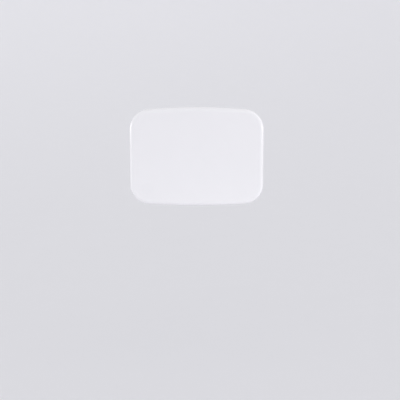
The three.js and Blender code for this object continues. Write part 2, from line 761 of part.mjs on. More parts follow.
function makeSocket() {
  const rear = powerPartsY - headerDepth - gap;
  const front = logicBoardY + gap;
  const halfX = linkWidth / 2;
  const halfZ = linkHeight / 2;
  const body = toSolid(span([-halfX, halfX], [front, rear], [-halfZ, halfZ]));
  const trough = span([-halfX + 0.9, halfX - 0.9], [powerPartsY + pinEndY - gap, 0],
    [-halfZ + 0.7, halfZ - 0.7]);
  return cut(body, trough);
}

piece('board_socket', toGeometry(makeSocket()), finishes.packageBlack, [linkX, 0, linkZ]);

function makeInsulationSheet() {
  const half = sheetWidth / 2;
  const body = toSolid(plate(roundedRectangle(-half, half, boardBottom, boardTop + 0.5, 2), sheetThickness)
    .translate(0, sheetY, 0));
  const link = span([linkX - linkWidth / 2 - gap, linkX + linkWidth / 2 + gap], [-beyond, 0],
    [linkZ - linkHeight / 2 - gap, linkZ + linkHeight / 2 + gap]);
  return cut(body, ...bossClearances, link);
}

piece('insulation_sheet', toGeometry(makeInsulationSheet()), finishes.sheetFilm);

// ---- cooling -----------------------------------------------------------------------------------

const footThickness = 0.8;
const footY = logicBoardY + gap + footThickness;

/** Foot of the heat spreader under one board screw, with the wall that carries it. */
function spreaderFoot([x, z]) {
  const inwards = Math.sign(-x);
  const wallThickness = 1;
  if (x === 0) {
    const hanger = span([-3, 3], [footY - footThickness, spreaderY], [-1.6, -1.6 + wallThickness]);
    const bridge = span([-3, 3], [spreaderY - spreaderThickness, spreaderY], [-1.6, spreaderBottom + 1]);
    return [hanger, bridge, span([-3, 3], [footY - footThickness, footY], [z - 2.6, -1])];
  }
  const wallX = [x + inwards * 3.6, x + inwards * (3.6 - wallThickness)].sort((a, b) => a - b);
  const footX = [x - inwards * 2.6, x + inwards * 3.6].sort((a, b) => a - b);
  const hanger = span(wallX, [footY - footThickness, spreaderY], [z - 3, z + 3]);
  const bridge = span([x + inwards * 3.6, x + inwards * 2.6].sort((a, b) => a - b),
    [spreaderY - spreaderThickness, spreaderY], [z - 3, z + 3]);
  return [hanger, bridge, span(footX, [footY - footThickness, footY], [z - 3, z + 3])];
}

function makeHeatSpreader() {
  const half = spreaderWidth / 2;
  const plateSolid = plate(roundedRectangle(-half - 1, half + 1, spreaderBottom, spreaderTop, 2),
    spreaderThickness).translate(0, spreaderY, 0);
  const body = join(plateSolid, ...logicScrewPlaces.flatMap(spreaderFoot));
  const holes = logicScrewPlaces.map(([x, z]) => barY(smallShankRadius + gap, x, z, 0, -beyond, 12));
  return cut(body, ...holes);
}

piece('heat_spreader', toGeometry(makeHeatSpreader()), finishes.aluminium);

// ---- logic board -------------------------------------------------------------------------------

function makeLogicBoard() {
  const half = logicBoardWidth / 2;
  const body = toSolid(plate(roundedRectangle(-half, half, boardBottom, boardTop, 1.5), logicBoardThickness)
    .translate(0, logicBoardY, 0));
  const holes = logicScrewPlaces.map(([x, z]) => barY(smallShankRadius + gap, x, z, 0, -beyond, 12));
  return cut(body, ...holes, ...bossClearances);
}

piece('logic_board', toGeometry(makeLogicBoard()), finishes.board);

const logicScrew = screw(smallHeadRadius, smallHeadHeight, smallShankRadius, smallScrewLength);
for (const [i, [x, z]] of logicScrewPlaces.entries()) {
  piece(`logic_board_screw_${i + 1}`, logicScrew, finishes.screwSteel, [x, footY + gap, z]);
}

// Each screened block: name of its lid, pad and place, with the lid's width and height.
const screenedBlocks = [
  ['processor', 0, 20, 26, 20],
  ['radio_1', 25, 20, 17, 18],
  ['radio_2', -25, 20, 17, 18],
];
const shieldSheet = 0.4;
for (const [name, x, z, width, height] of screenedBlocks) {
  const halfX = width / 2;
  const halfZ = height / 2;
  const lid = toSolid(plate(roundedRectangle(-halfX, halfX, -halfZ, halfZ, 1), shieldHeight));
  const inside = span([-halfX + shieldSheet, halfX - shieldSheet], [-shieldHeight - 1, -shieldSheet],
    [-halfZ + shieldSheet, halfZ - shieldSheet]);
  piece(`${name}_shield`, toGeometry(cut(lid, inside)), finishes.shieldTin, [x, shieldY, z]);
  piece(`${name}_thermal_pad`, box(width - 6, padThickness, height - 6), finishes.padGrey,
    [x, padY - padThickness / 2, z]);
}

const chipThickness = 0.9;
const chips = [
  ['processor_chip', -5, 20, 13, 13],
  ['memory_chip', 7.5, 20, 7.5, 12],
  ['radio_1_chip', 25, 20, 8, 8],
  ['radio_2_chip', -25, 20, 8, 8],
];
for (const [name, x, z, width, height] of chips) {
  piece(name, box(width, chipThickness, height), finishes.packageBlack,
    [x, logicBoardY + gap + chipThickness / 2, z]);
}
const flashThickness = 1.5;
piece('flash_chip', chipPackage(5, 5.2, flashThickness, 4, 1.27, 1).rotateX(Math.PI), finishes.packageBlack,
  [-16, logicBoardY + gap, 3]);

// ---- status light ------------------------------------------------------------------------------

const ledHeight = 0.9;
const ledFrontY = logicFrontY - gap - ledHeight;
piece('status_led', toGeometry(join(
  span([-1.6, 1.6], [-0.5, 0], [-1.4, 1.4]), span([-1.1, 1.1], [-ledHeight, -0.4], [-1, 1]))),
finishes.lightDome, [lightX, logicFrontY - gap, lightZ]);

const pipeRear = ledFrontY - gap;
const pipeFront = faceY(lightX, lightZ) + lightSkin + gap;
const pipeLength = pipeRear - pipeFront;
piece('status_light_pipe', lathe([[0, 0], [1.8, 0], [lightRadius, pipeLength * 0.6],
  [lightRadius, pipeLength], [0, pipeLength]], 24).rotateX(Math.PI), finishes.lightClear,
[lightX, pipeRear, lightZ]);

// ---- reset button ------------------------------------------------------------------------------

const buttonRim = 0.7;           // how far the flange reaches past the cap on every side
const capFaceX = halfWidth - taperAt(buttonY) + buttonProud;
const flangeX = halfWidth - taperAt(buttonY + buttonDepth / 2 + buttonRim) - wall - gap;
const flangeThickness = 0.8;
const postEndX = 43.2;

function makeResetButton() {
  const cap = sidePlate(buttonOutline(0), capFaceX - flangeX + 0.4, flangeX - 0.4);
  const flange = sidePlate(buttonOutline(buttonRim), flangeThickness, flangeX - flangeThickness);
  const post = span([postEndX, flangeX - 0.4], [plungerY - 1.1, plungerY + 1.1],
    [buttonZ - 1.5, buttonZ + 1.5]);
  return join(cap, flange, post);
}

piece('reset_button', toGeometry(makeResetButton()), finishes.caseWhite);

const switchFrontX = 41.6;
const switchRearX = 37.4;
const plungerRadius = 0.9;

function makeResetSwitch() {
  const body = toSolid(span([switchRearX, switchFrontX], [logicBoardY + gap, plungerY + 1.9],
    [buttonZ - 2.4, buttonZ + 2.4]));
  const bore = barX(plungerRadius + gap, 6).translate(switchFrontX, plungerY, buttonZ);
  return cut(body, bore);
}

piece('reset_switch', toGeometry(makeResetSwitch()), finishes.packageBlack);

const plungerRear = switchFrontX - 3 + buttonTravel + gap;
const plungerFront = postEndX - gap;
piece('reset_switch_plunger', barX(plungerRadius, plungerFront - plungerRear, 16), finishes.holderPlastic,
  [(plungerRear + plungerFront) / 2, plungerY, buttonZ]);

// ---- antennas ----------------------------------------------------------------------------------

/** Coaxial lead from an antenna to its plug on the logic board; side is -1 or 1. */
function makeLead(side) {
  const plugX = side * 20.5;
  const plugZ = 34.4;
  const route = new THREE.CatmullRomCurve3([
    [side * 12, -19.2, antennaZ - gap - leadRadius],
    [side * 13.5, -19.2, antennaZ - gap - leadRadius - 0.2],
    [side * 16.5, -19.4, 44.6],
    [side * 18, -20.2, 41],
    [side * 19.6, -21.2, 37.6],
    [plugX, -21.5, plugZ],
  ].map(([x, y, z]) => new THREE.Vector3(x, y, z)));
  const section = new THREE.Shape();
  section.absarc(0, 0, leadRadius, 0, 2 * Math.PI);
  const tube = new THREE.ExtrudeGeometry(section, { steps: 14, extrudePath: route, curveSegments: 4 });
  return join(tube, barY(1.25, plugX, plugZ, -20.9, logicBoardY + gap, 14));
}

for (const [i, side] of [-1, 1].entries()) {
  piece(`antenna_${i + 1}`, box(antennaLength, antennaDepth, antennaThickness), finishes.board,
    [side * antennaX, antennaRearY - antennaDepth / 2, antennaZ + antennaThickness / 2]);
  piece(`antenna_lead_${i + 1}`, toGeometry(makeLead(side)), finishes.leadBlack);
}

export default model;
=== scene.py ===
from math import copysign, cos, pi, radians, sin

import bmesh
import bpy
from mathutils import Matrix, Vector


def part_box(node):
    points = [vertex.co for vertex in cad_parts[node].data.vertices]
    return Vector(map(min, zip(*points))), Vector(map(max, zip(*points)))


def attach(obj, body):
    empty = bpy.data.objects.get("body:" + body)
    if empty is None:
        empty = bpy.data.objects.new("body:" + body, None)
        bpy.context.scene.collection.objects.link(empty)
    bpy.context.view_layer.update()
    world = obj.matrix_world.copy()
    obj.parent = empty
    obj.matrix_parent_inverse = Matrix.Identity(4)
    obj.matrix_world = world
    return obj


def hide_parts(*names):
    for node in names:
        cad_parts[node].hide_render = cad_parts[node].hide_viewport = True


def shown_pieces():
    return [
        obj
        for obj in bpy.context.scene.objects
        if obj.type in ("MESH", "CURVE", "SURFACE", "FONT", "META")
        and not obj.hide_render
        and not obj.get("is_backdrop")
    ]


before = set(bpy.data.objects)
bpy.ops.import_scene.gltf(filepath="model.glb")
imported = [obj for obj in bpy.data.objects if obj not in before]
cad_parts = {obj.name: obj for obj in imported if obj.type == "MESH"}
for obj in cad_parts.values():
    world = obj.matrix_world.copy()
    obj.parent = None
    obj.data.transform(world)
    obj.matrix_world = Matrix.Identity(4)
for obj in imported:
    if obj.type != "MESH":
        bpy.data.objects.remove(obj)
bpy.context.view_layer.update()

# Shapes are made in millimetres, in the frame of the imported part, and new_piece turns them into
# metres. Materials are in metres: noise is in features per metre and bumps in metres of height.
MM = 0.001

scene = bpy.context.scene


def box(node):
    """A CAD node's lowest corner, highest corner, middle and half size."""
    low, high = (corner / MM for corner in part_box(node))
    return low, high, (low + high) / 2, (high - low) / 2


def place_of(node):
    """(x, z) of a node's middle."""
    middle = box(node)[2]
    return middle.x, middle.z


# ---- driving dimensions ----

COVER_LOW, COVER_HIGH, COVER_MIDDLE, COVER_HALF = box("front_cover")
HALF_WIDTH, HALF_HEIGHT = COVER_HALF.x, COVER_HALF.z
BODY_MIDDLE = COVER_MIDDLE.z
BODY_DEPTH = -COVER_LOW.y
CORNER_RADIUS = 13.7
TOP_BOW = 3.0
BOTTOM_BOW = 1.9
FACE_CROWN_ACROSS = 1.5
FACE_CROWN_UP = 0.8
FRONT_EDGE_RADIUS = 3.0
REAR_EDGE_RADIUS = 1.5
REAR_TAPER = 3.5
WIDEST_Y = FRONT_EDGE_RADIUS - BODY_DEPTH
WALL = 2.0
REAR_WALL = 2.2
GAP = 0.3
COVER_END = COVER_HIGH.y
HOUSING_START = COVER_END + GAP
EDGE_BREAK = 0.25

CASE_SCREWS = [f"housing_screw_{number}" for number in (1, 2, 3, 4)]
POWER_SCREWS = [f"power_board_screw_{number}" for number in (1, 2)]
LOGIC_SCREWS = [f"logic_board_screw_{number}" for number in (1, 2, 3)]
BLADES = ("neutral_blade", "line_blade")


# ---- mesh helpers ----

SHARP_ANGLE = radians(35)
BEVEL_ANGLE = radians(30)
FLAT_ANGLE = radians(0.05)
SLIVER = 0.002
PINHOLE_SIDES = 4


def placed(name, data):
    obj = bpy.data.objects.new(name, data)
    scene.collection.objects.link(obj)
    return obj


def new_piece(name, mesh, material):
    """An object in metres from a mesh in millimetres."""
    mesh.transform(Matrix.Scale(MM, 4))
    mesh.materials.clear()
    mesh.materials.append(material)
    mesh.shade_smooth()
    mesh.set_sharp_from_angle(angle=SHARP_ANGLE)
    return placed(name, mesh)


def mesh_of(bm):
    bmesh.ops.recalc_face_normals(bm, faces=bm.faces)
    mesh = bpy.data.meshes.new("shape")
    bm.to_mesh(mesh)
    bm.free()
    return mesh


def skin(rings, closed=False):
    """A bmesh with faces from ring to ring, and its rows of points."""
    bm = bmesh.new()
    rows = [[bm.verts.new(point) for point in loop] for loop in rings]
    for near, far in zip(rows, rows[1:] + rows[:int(closed)]):
        for corners in zip(near, near[1:] + near[:1], far[1:] + far[:1], far):
            bm.faces.new(corners)
    return bm, rows


def cap(bm, row, tip):
    """Closes a row of points, up to a tip or with one flat face."""
    if tip is None:
        bm.faces.new(row)
        return
    apex = bm.verts.new(tip)
    for near, far in zip(row, row[1:] + row[:1]):
        bm.faces.new((near, far, apex))


def loft(rings, first=None, last=None):
    """Skin over rings, ending in points or in flat faces."""
    bm, rows = skin(rings)
    cap(bm, rows[0], first)
    cap(bm, rows[-1], last)
    return mesh_of(bm)


def hoop(rings):
    """Skin over rings whose last one joins the first."""
    return mesh_of(skin(rings, closed=True)[0])


def circle(radius, sides):
    return [(radius * cos(turn), radius * sin(turn))
        for turn in (2 * pi * i / sides for i in range(sides))]


def quarter_turn(steps):
    """Sines and cosines at even steps up to a right angle."""
    return [(sin(turn), cos(turn)) for turn in (step / steps * pi / 2 for step in range(steps + 1))]


def spread(count, pitch):
    """Evenly spaced distances to both sides of zero."""
    return [(i - (count - 1) / 2) * pitch for i in range(count)]


def lathe(profile, start, direction, sides=48):
    """Turned solid from (radius, distance) pairs; both ends lie on the axis."""
    turn = Vector((0, 0, 1)).rotation_difference(Vector(direction)).to_matrix()
    rings = [[Vector(start) + turn @ Vector((u, v, distance)) for u, v in circle(radius, sides)]
        for radius, distance in profile[1:-1]]
    ends = [Vector(start) + turn @ Vector((0, 0, profile[k][1])) for k in (0, -1)]
    return loft(rings, *ends)


AXES = {"x": (2, 0, 1), "y": (0, 2, 1), "z": (0, 1, 2)}


def ring(outline, axis, w):
    """Points at w along an axis from (u, v) pairs."""
    return [Vector([(u, v, w)[k] for k in AXES[axis]]) for u, v in outline]


def prism(outline, axis, start, end):
    return loft([ring(outline, axis, w) for w in (start, end)])


def rounded_rectangle(u0, u1, v0, v1, radius, steps=6):
    """(u, v) pairs, anticlockwise from the right-hand side."""
    points = []
    corners = ((u1 - radius, v1 - radius), (u0 + radius, v1 - radius),
        (u0 + radius, v0 + radius), (u1 - radius, v0 + radius))
    for quadrant, (u, v) in enumerate(corners):
        for step in range(steps + 1):
            turn = (quadrant + step / steps) * pi / 2
            points.append((u + radius * cos(turn), v + radius * sin(turn)))
    return points


def grown(node, margin, radius, steps):
    """Rounded outline in X and Z of a node's box grown by a margin."""
    low, high = box(node)[:2]
    return rounded_rectangle(low.x - margin, high.x + margin, low.z - margin, high.z + margin,
        radius, steps)


def scaled(outline, scale, u0, v0):
    return [((u - u0) * scale + u0, (v - v0) * scale + v0) for u, v in outline]


def block(x0, x1, y0, y1, z0, z1, edge=0.1, steps=3):
    """Block whose four edges along Y are rounded."""
    return prism(rounded_rectangle(x0, x1, z0, z1, edge, steps), "y", y0, y1)


def bar(x, z, radius, y_rear, y_front, sides=40, flare=0):
    """Round bar along Y; flare widens the mouth of the hole that it cuts."""
    length = y_rear - y_front
    profile = [(0, 0), (radius, 0), (radius, length), (0, length)]
    if flare:
        profile[:2] = [(0, -1), (radius + flare + 1, -1), (radius, flare)]
    return lathe(profile, (x, y_rear, z), (0, -1, 0), sides)


def cross(start, way, side, arm, width, near, far, taper=1):
    """Two crossed bars, to be cut from the end of a part."""
    other = way.cross(side)
    return [loft([[start + way * distance + one * (u * arm * scale) + two * (v * width)
        for u, v in ((1, 1), (-1, 1), (-1, -1), (1, -1))]
        for distance, scale in ((near, 1), (far, taper))]) for one, two in ((side, other), (other, side))]


def same_ends(end, length):
    """Profile of a turned part from one of its two equal ends."""
    return [(0, 0), *end, *((radius, length - distance) for radius, distance in end[::-1]), (0, length)]


def joined(*meshes):
    bm = bmesh.new()
    for mesh in meshes:
        bm.from_mesh(mesh)
    return mesh_of(bm)


def baked(obj):
    """The mesh of an object with its modifiers applied."""
    depsgraph = bpy.context.evaluated_depsgraph_get()
    mesh = bpy.data.meshes.new_from_object(obj.evaluated_get(depsgraph))
    bpy.data.objects.remove(obj)
    return mesh


def boolean(mesh, tools, operation):
    for tool in tools:
        base, other = placed("base", mesh), placed("tool", tool)
        modifier = base.modifiers.new("boolean", "BOOLEAN")
        modifier.operation = operation
        modifier.solver = "EXACT"
        modifier.object = other
        mesh = baked(base)
        bpy.data.objects.remove(other)
    return mesh


def cut(mesh, *tools):
    return boolean(mesh, tools, "DIFFERENCE")


def fused(mesh, *tools):
    return boolean(mesh, tools, "UNION")


def cleaned(mesh):
    """A cut mesh without slivers or pinholes."""
    bm = bmesh.new()
    bm.from_mesh(mesh)
    bmesh.ops.remove_doubles(bm, verts=bm.verts, dist=SLIVER)
    bmesh.ops.dissolve_degenerate(bm, edges=bm.edges, dist=SLIVER)
    bmesh.ops.holes_fill(bm, edges=bm.edges, sides=PINHOLE_SIDES)
    bmesh.ops.dissolve_limit(bm, verts=bm.verts, edges=bm.edges, angle_limit=FLAT_ANGLE)
    return mesh_of(bm)


def softened(mesh, width, segments=3):
    obj = placed("soft", mesh)
    modifier = obj.modifiers.new("bevel", "BEVEL")
    modifier.width = width
    modifier.segments = segments
    modifier.limit_method = "ANGLE"
    modifier.angle_limit = BEVEL_ANGLE
    return baked(obj)


# ---- material helpers ----


def connect(tree, node, inputs):
    """Links named inputs of a node to outputs, or sets them to values."""
    for name, value in inputs.items():
        socket = node.inputs[name]
        if isinstance(value, bpy.types.NodeSocket):
            tree.links.new(value, socket)
        elif socket.type == "RGBA":
            socket.default_value = (*value, 1)
        else:
            socket.default_value = value


def add(tree, kind, output, inputs, **options):
    """One output of a new node."""
    node = tree.nodes.new(f"ShaderNode{kind}")
    for option, value in options.items():
        setattr(node, option, value)
    connect(tree, node, inputs)
    return node.outputs[output]


def object_place(tree):
    return add(tree, "TexCoord", "Object", {})


def noise(tree, scale, detail, stretch=(1, 1, 1)):
    place = add(tree, "Mapping", "Vector", {"Vector": object_place(tree), "Scale": stretch})
    return add(tree, "TexNoise", "Fac", {"Vector": place, "Scale": scale, "Detail": detail})


def mapped(tree, source, low, high, from_low=0.3, from_high=0.7):
    return add(tree, "MapRange", "Result", {"Value": source, "From Min": from_low,
        "From Max": from_high, "To Min": low, "To Max": high})


def blended(tree, factor, first, second):
    return add(tree, "Mix", 2, {"Factor": factor, 6: first, 7: second}, data_type="RGBA")


def bumped(tree, *layers):
    """Normal from layers of (height, distance, strength)."""
    under = {}
    for height, distance, strength in layers:
        inputs = {"Height": height, "Distance": distance, "Strength": strength}
        under = {"Normal": add(tree, "Bump", "Normal", inputs | under)}
    return under


def node_material(name):
    """A material, its node tree and its shader."""
    material = bpy.data.materials.new(name)
    material.use_nodes = True
    return material, material.node_tree, material.node_tree.nodes["Principled BSDF"]


def plastic(name, colour, shade, roughness, grain=(2500, 0.000004),
        wave=(60, 0.000018), specular=0.5):
    """Plastic with faint colour drift, slow waviness and a fine grain."""
    material, tree, shader = node_material(name)
    connect(tree, shader, {
        "Base Color": blended(tree, mapped(tree, noise(tree, 35, 2), 0, 1), colour, shade),
        "Roughness": mapped(tree, noise(tree, 180, 4), *roughness),
        "Specular IOR Level": specular,
        **bumped(tree, (noise(tree, wave[0], 1), wave[1], 0.6),
            (noise(tree, grain[0], 2), grain[1], 0.5)),
    })
    return material


def metal(name, colour, shade, roughness, scratches=(1, 1, 1), depth=0.000006):
    """Metal with a drawn grain and slight tarnish."""
    material, tree, shader = node_material(name)
    grain = noise(tree, 900, 5, scratches)
    connect(tree, shader, {
        "Base Color": blended(tree, mapped(tree, noise(tree, 220, 4), 0, 1), colour, shade),
        "Metallic": 1,
        "Roughness": mapped(tree, grain, *roughness),
        **bumped(tree, (grain, depth, 0.5)),
    })
    return material


def painted_thin_wall_shade(material, node, shade):
    """Darkens a moulding slightly where the node behind makes it thinner: a painted shade for the light
    lost through the thin wall.
    """
    tree = material.node_tree
    shader = tree.nodes["Principled BSDF"]
    middle, half = (size * MM for size in box(node)[2:])
    offset = add(tree, "VectorMath", "Vector", {0: object_place(tree), 1: middle}, operation="SUBTRACT")
    flat = add(tree, "VectorMath", "Vector", {0: offset, 1: (1, 0, 1)}, operation="MULTIPLY")
    away = add(tree, "VectorMath", "Value", {0: flat}, operation="LENGTH")
    fade = 0.2 * MM
    inside = mapped(tree, away, 1, 0, half.x - fade, half.x + fade)
    colour = shader.inputs["Base Color"].links[0].from_socket
    connect(tree, shader, {"Base Color": blended(tree, inside, colour, shade)})


def solder_mask(name, mask, copper, via):
    """Lacquer over raised copper tracks, with vias."""
    material, tree, shader = node_material(name)
    place = object_place(tree)
    turned = add(tree, "Mapping", "Vector", {"Vector": place, "Rotation": (pi / 2, 0, 0)})
    tracks = add(tree, "TexBrick", "Color", {
        "Vector": turned, "Scale": 300, "Mortar Size": 0.012, "Mortar Smooth": 0.2,
        "Brick Width": 1.7, "Row Height": 0.42,
        "Color1": (0, 0, 0), "Color2": (0, 0, 0), "Mortar": (1, 1, 1)})
    rings = mapped(tree, add(tree, "TexVoronoi", "Distance", {"Vector": place, "Scale": 190}),
        1, 0, 0.07, 0.1)
    gloss = noise(tree, 300, 3)
    connect(tree, shader, {
        "Base Color": blended(tree, rings, blended(tree, tracks, mask, copper), via),
        "Roughness": mapped(tree, gloss, 0.25, 0.42),
        **bumped(tree, (tracks, 0.00003, 0.6), (gloss, 0.00001, 0.3)),
    })
    return material


# ---- materials ----

CASE_WHITE, COVER_WHITE = (plastic(f"{part}_white_plastic", (0.886, 0.88, 0.902),
    (0.878, 0.872, 0.894), (0.16, 0.22)) for part in ("case", "cover"))
# Painted shade: the cover's colour is darkened over the light pipe, where its wall is thinner.
painted_thin_wall_shade(COVER_WHITE, "status_light_pipe", (0.874, 0.869, 0.891))
LABEL_GREY = plastic("label_film", (0.60, 0.61, 0.63), (0.57, 0.58, 0.60), (0.42, 0.52))
LABEL_INK = plastic("label_ink", (0.20, 0.21, 0.23), (0.17, 0.18, 0.20), (0.5, 0.6))
PRINT_WHITE = plastic("legend_ink", (0.75, 0.76, 0.74), (0.68, 0.69, 0.67), (0.5, 0.65))
HOLDER_PLASTIC = plastic("holder_nylon", (0.022, 0.022, 0.025), (0.03, 0.03, 0.033),
    (0.4, 0.55))
PACKAGE_BLACK = plastic("package_epoxy", (0.016, 0.016, 0.018), (0.025, 0.025, 0.027),
    (0.5, 0.65), (5000, 0.000008))
PART_BROWN = plastic("small_part_ceramic", (0.20, 0.13, 0.08), (0.12, 0.08, 0.06),
    (0.4, 0.55))
SLEEVE = plastic("capacitor_sleeve_film", (0.018, 0.022, 0.035),
    (0.026, 0.03, 0.045), (0.22, 0.34))
SLEEVE_BAND = plastic("capacitor_band", (0.42, 0.43, 0.44), (0.37, 0.38, 0.39),
    (0.25, 0.38))
FILM_YELLOW = plastic("film_capacitor_case", (0.72, 0.46, 0.05), (0.66, 0.41, 0.04),
    (0.35, 0.5))
DISC_BLUE = plastic("disc_lacquer", (0.03, 0.10, 0.36), (0.02, 0.08, 0.30), (0.2, 0.35),
    (1200, 0.00003), (300, 0.0001))
FERRITE = plastic("ferrite_grey", (0.045, 0.046, 0.05), (0.065, 0.066, 0.07), (0.5, 0.7),
    (3500, 0.00002))
CORE_COATING = plastic("ring_core_coating", (0.02, 0.09, 0.05), (0.03, 0.11, 0.06), (0.35, 0.5))
WINDING_TAPE = plastic("winding_tape_film", (0.62, 0.46, 0.05), (0.56, 0.40, 0.04),
    (0.22, 0.34), (900, 0.00001), (200, 0.0001))
FUSE_BODY = plastic("fuse_ceramic_glaze", (0.68, 0.64, 0.55), (0.62, 0.58, 0.49),
    (0.2, 0.3))
SHEET_FILM = plastic("insulation_film", (0.72, 0.70, 0.60), (0.68, 0.66, 0.56),
    (0.25, 0.4), (1500, 0.000008), (90, 0.0001))
PAD_GREY = plastic("thermal_pad_silicone", (0.24, 0.27, 0.34), (0.20, 0.23, 0.30),
    (0.75, 0.9), (1800, 0.00004), (250, 0.0001))
LEAD_BLACK = plastic("lead_jacket", (0.02, 0.02, 0.022), (0.03, 0.03, 0.032), (0.35, 0.5))
LIGHT_CLEAR = plastic("light_pipe_acrylic", (0.80, 0.83, 0.86), (0.76, 0.80, 0.84),
    (0.08, 0.16))
LIGHT_DOME = plastic("light_dome_resin", (0.80, 0.72, 0.30), (0.76, 0.67, 0.26), (0.15, 0.25))
BOARD_GREEN = solder_mask("board_mask", (0.006, 0.10, 0.035), (0.02, 0.17, 0.065),
    (0.5, 0.42, 0.22))
BLADE_METAL = metal("blade_nickel", (0.70, 0.67, 0.61), (0.60, 0.56, 0.49), (0.28, 0.42),
    (1, 0.06, 1), 0.000003)
SCREW_STEEL = metal("screw_zinc", (0.55, 0.56, 0.58), (0.42, 0.43, 0.46), (0.28, 0.45))
TIN = metal("tinned_lead", (0.62, 0.63, 0.64), (0.48, 0.49, 0.51), (0.25, 0.4))
SOLDER = metal("solder", (0.66, 0.67, 0.69), (0.52, 0.53, 0.56), (0.15, 0.35))
GOLD = metal("contact_gold", (0.80, 0.58, 0.24), (0.70, 0.48, 0.18), (0.18, 0.3))
SHIELD_TIN = metal("shield_tinplate", (0.66, 0.67, 0.68), (0.55, 0.56, 0.58), (0.2, 0.34),
    (0.1, 1, 1))
COPPER = metal("winding_copper", (0.72, 0.30, 0.12), (0.58, 0.22, 0.08), (0.2, 0.32))
ALUMINIUM = metal("rolled_aluminium", (0.70, 0.71, 0.73), (0.60, 0.61, 0.63),
    (0.24, 0.42), (1, 1, 0.05))


def finished(name, mesh, material, *nodes, body="case", slot=None):
    """A piece that rides on a body and stands for some CAD nodes; its slot is not used."""
    obj = new_piece(name, mesh, material)
    modifier = obj.modifiers.new("weighted", "WEIGHTED_NORMAL")
    modifier.keep_sharp = True
    modifier.weight = 80
    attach(obj, body)
    if nodes:
        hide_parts(*nodes)
    return obj


# ---- case form ----

CORNER_STEPS = 16
LONG_EDGE_STEPS = 28
SHORT_EDGE_STEPS = 14
SMALLEST_RADIUS = 1.0


def case_outline(inset):
    """Points (x, z) of the case outline drawn in by an inset."""
    top = BODY_MIDDLE + HALF_HEIGHT - TOP_BOW
    bottom = BODY_MIDDLE - HALF_HEIGHT + BOTTOM_BOW
    corners = rounded_rectangle(inset - HALF_WIDTH, HALF_WIDTH - inset, bottom + inset, top - inset,
        max(CORNER_RADIUS - inset, SMALLEST_RADIUS), CORNER_STEPS)
    points = []
    for quadrant in range(4):
        following = (quadrant + 1) * (CORNER_STEPS + 1)
        corner = corners[following - CORNER_STEPS - 1:following]
        start, end = Vector(corner[-1]), Vector(corners[following % len(corners)])
        steps = SHORT_EDGE_STEPS if quadrant % 2 else LONG_EDGE_STEPS
        points += corner + [start.lerp(end, step / steps) for step in range(1, steps)]
    bowed = []
    for x, z in points:
        across = 1 - (x / HALF_WIDTH) ** 2
        up = (z - bottom) / (top - bottom)
        bowed.append((x, z + across * (up * TOP_BOW - (1 - up) * BOTTOM_BOW)))
    return bowed


def face_y(x, z):
    """Depth of the domed front face."""
    return (-BODY_DEPTH + FACE_CROWN_ACROSS * (x / HALF_WIDTH) ** 2
        + FACE_CROWN_UP * ((z - BODY_MIDDLE) / HALF_HEIGHT) ** 2)


def taper_at(y):
    """How far the side walls are drawn in at a depth."""
    return REAR_TAPER * max(0.0, (y - WIDEST_Y) / -WIDEST_Y) ** 2


def wall_rings(*stations):
    """Rings on the side wall, each at an offset inwards and a depth."""
    return [ring(case_outline(offset + taper_at(y)), "y", y) for offset, y in stations]


def face_rings(offset, edge):
    """Rings over the front face, out to its rim."""
    rim = case_outline(offset + edge)
    return [[Vector((x, face_y(x, z) + offset, z)) for x, z in scaled(rim, scale, 0, BODY_MIDDLE)]
        for scale in (0.08, 0.16, 0.25, 0.35, 0.45, 0.55, 0.65, 0.75, 0.84, 0.91, 0.96)]


def edge_rings(offset, edge, steps):
    """Rings round the rolled front edge."""
    return [[Vector((x, face_y(x, z) + offset + edge * (1 - cosine), z))
        for x, z in case_outline(offset + edge * (1 - sine))] for sine, cosine in quarter_turn(steps)]


def cover_shell():
    """The cover without its bosses and holes."""
    levels = [-24, -22, -20, -18, -16, -14]
    inner_edge = FRONT_EDGE_RADIUS - WALL
    centre = Vector((0, face_y(0, BODY_MIDDLE), BODY_MIDDLE))
    return loft([
        *face_rings(0, FRONT_EDGE_RADIUS),
        *edge_rings(0, FRONT_EDGE_RADIUS, 12),
        *wall_rings(*((0, y) for y in levels)),
        *wall_rings((0, COVER_END - EDGE_BREAK), (EDGE_BREAK * 0.3, COVER_END - EDGE_BREAK * 0.3),
            (EDGE_BREAK, COVER_END), (WALL - EDGE_BREAK, COVER_END), (WALL, COVER_END - EDGE_BREAK)),
        *wall_rings(*((WALL, y) for y in reversed(levels[:-1]))),
        *reversed(edge_rings(WALL, inner_edge, 5)),
        *reversed(face_rings(WALL, inner_edge)),
    ], centre, centre + Vector((0, WALL, 0)))


def rear_rings(offset, y, edge):
    """Rings over the rear face, out to its rim."""
    rim = case_outline(offset + taper_at(y) + edge)
    return [ring(scaled(rim, scale, 0, BODY_MIDDLE), "y", y) for scale in (0.3, 0.6, 0.85)]


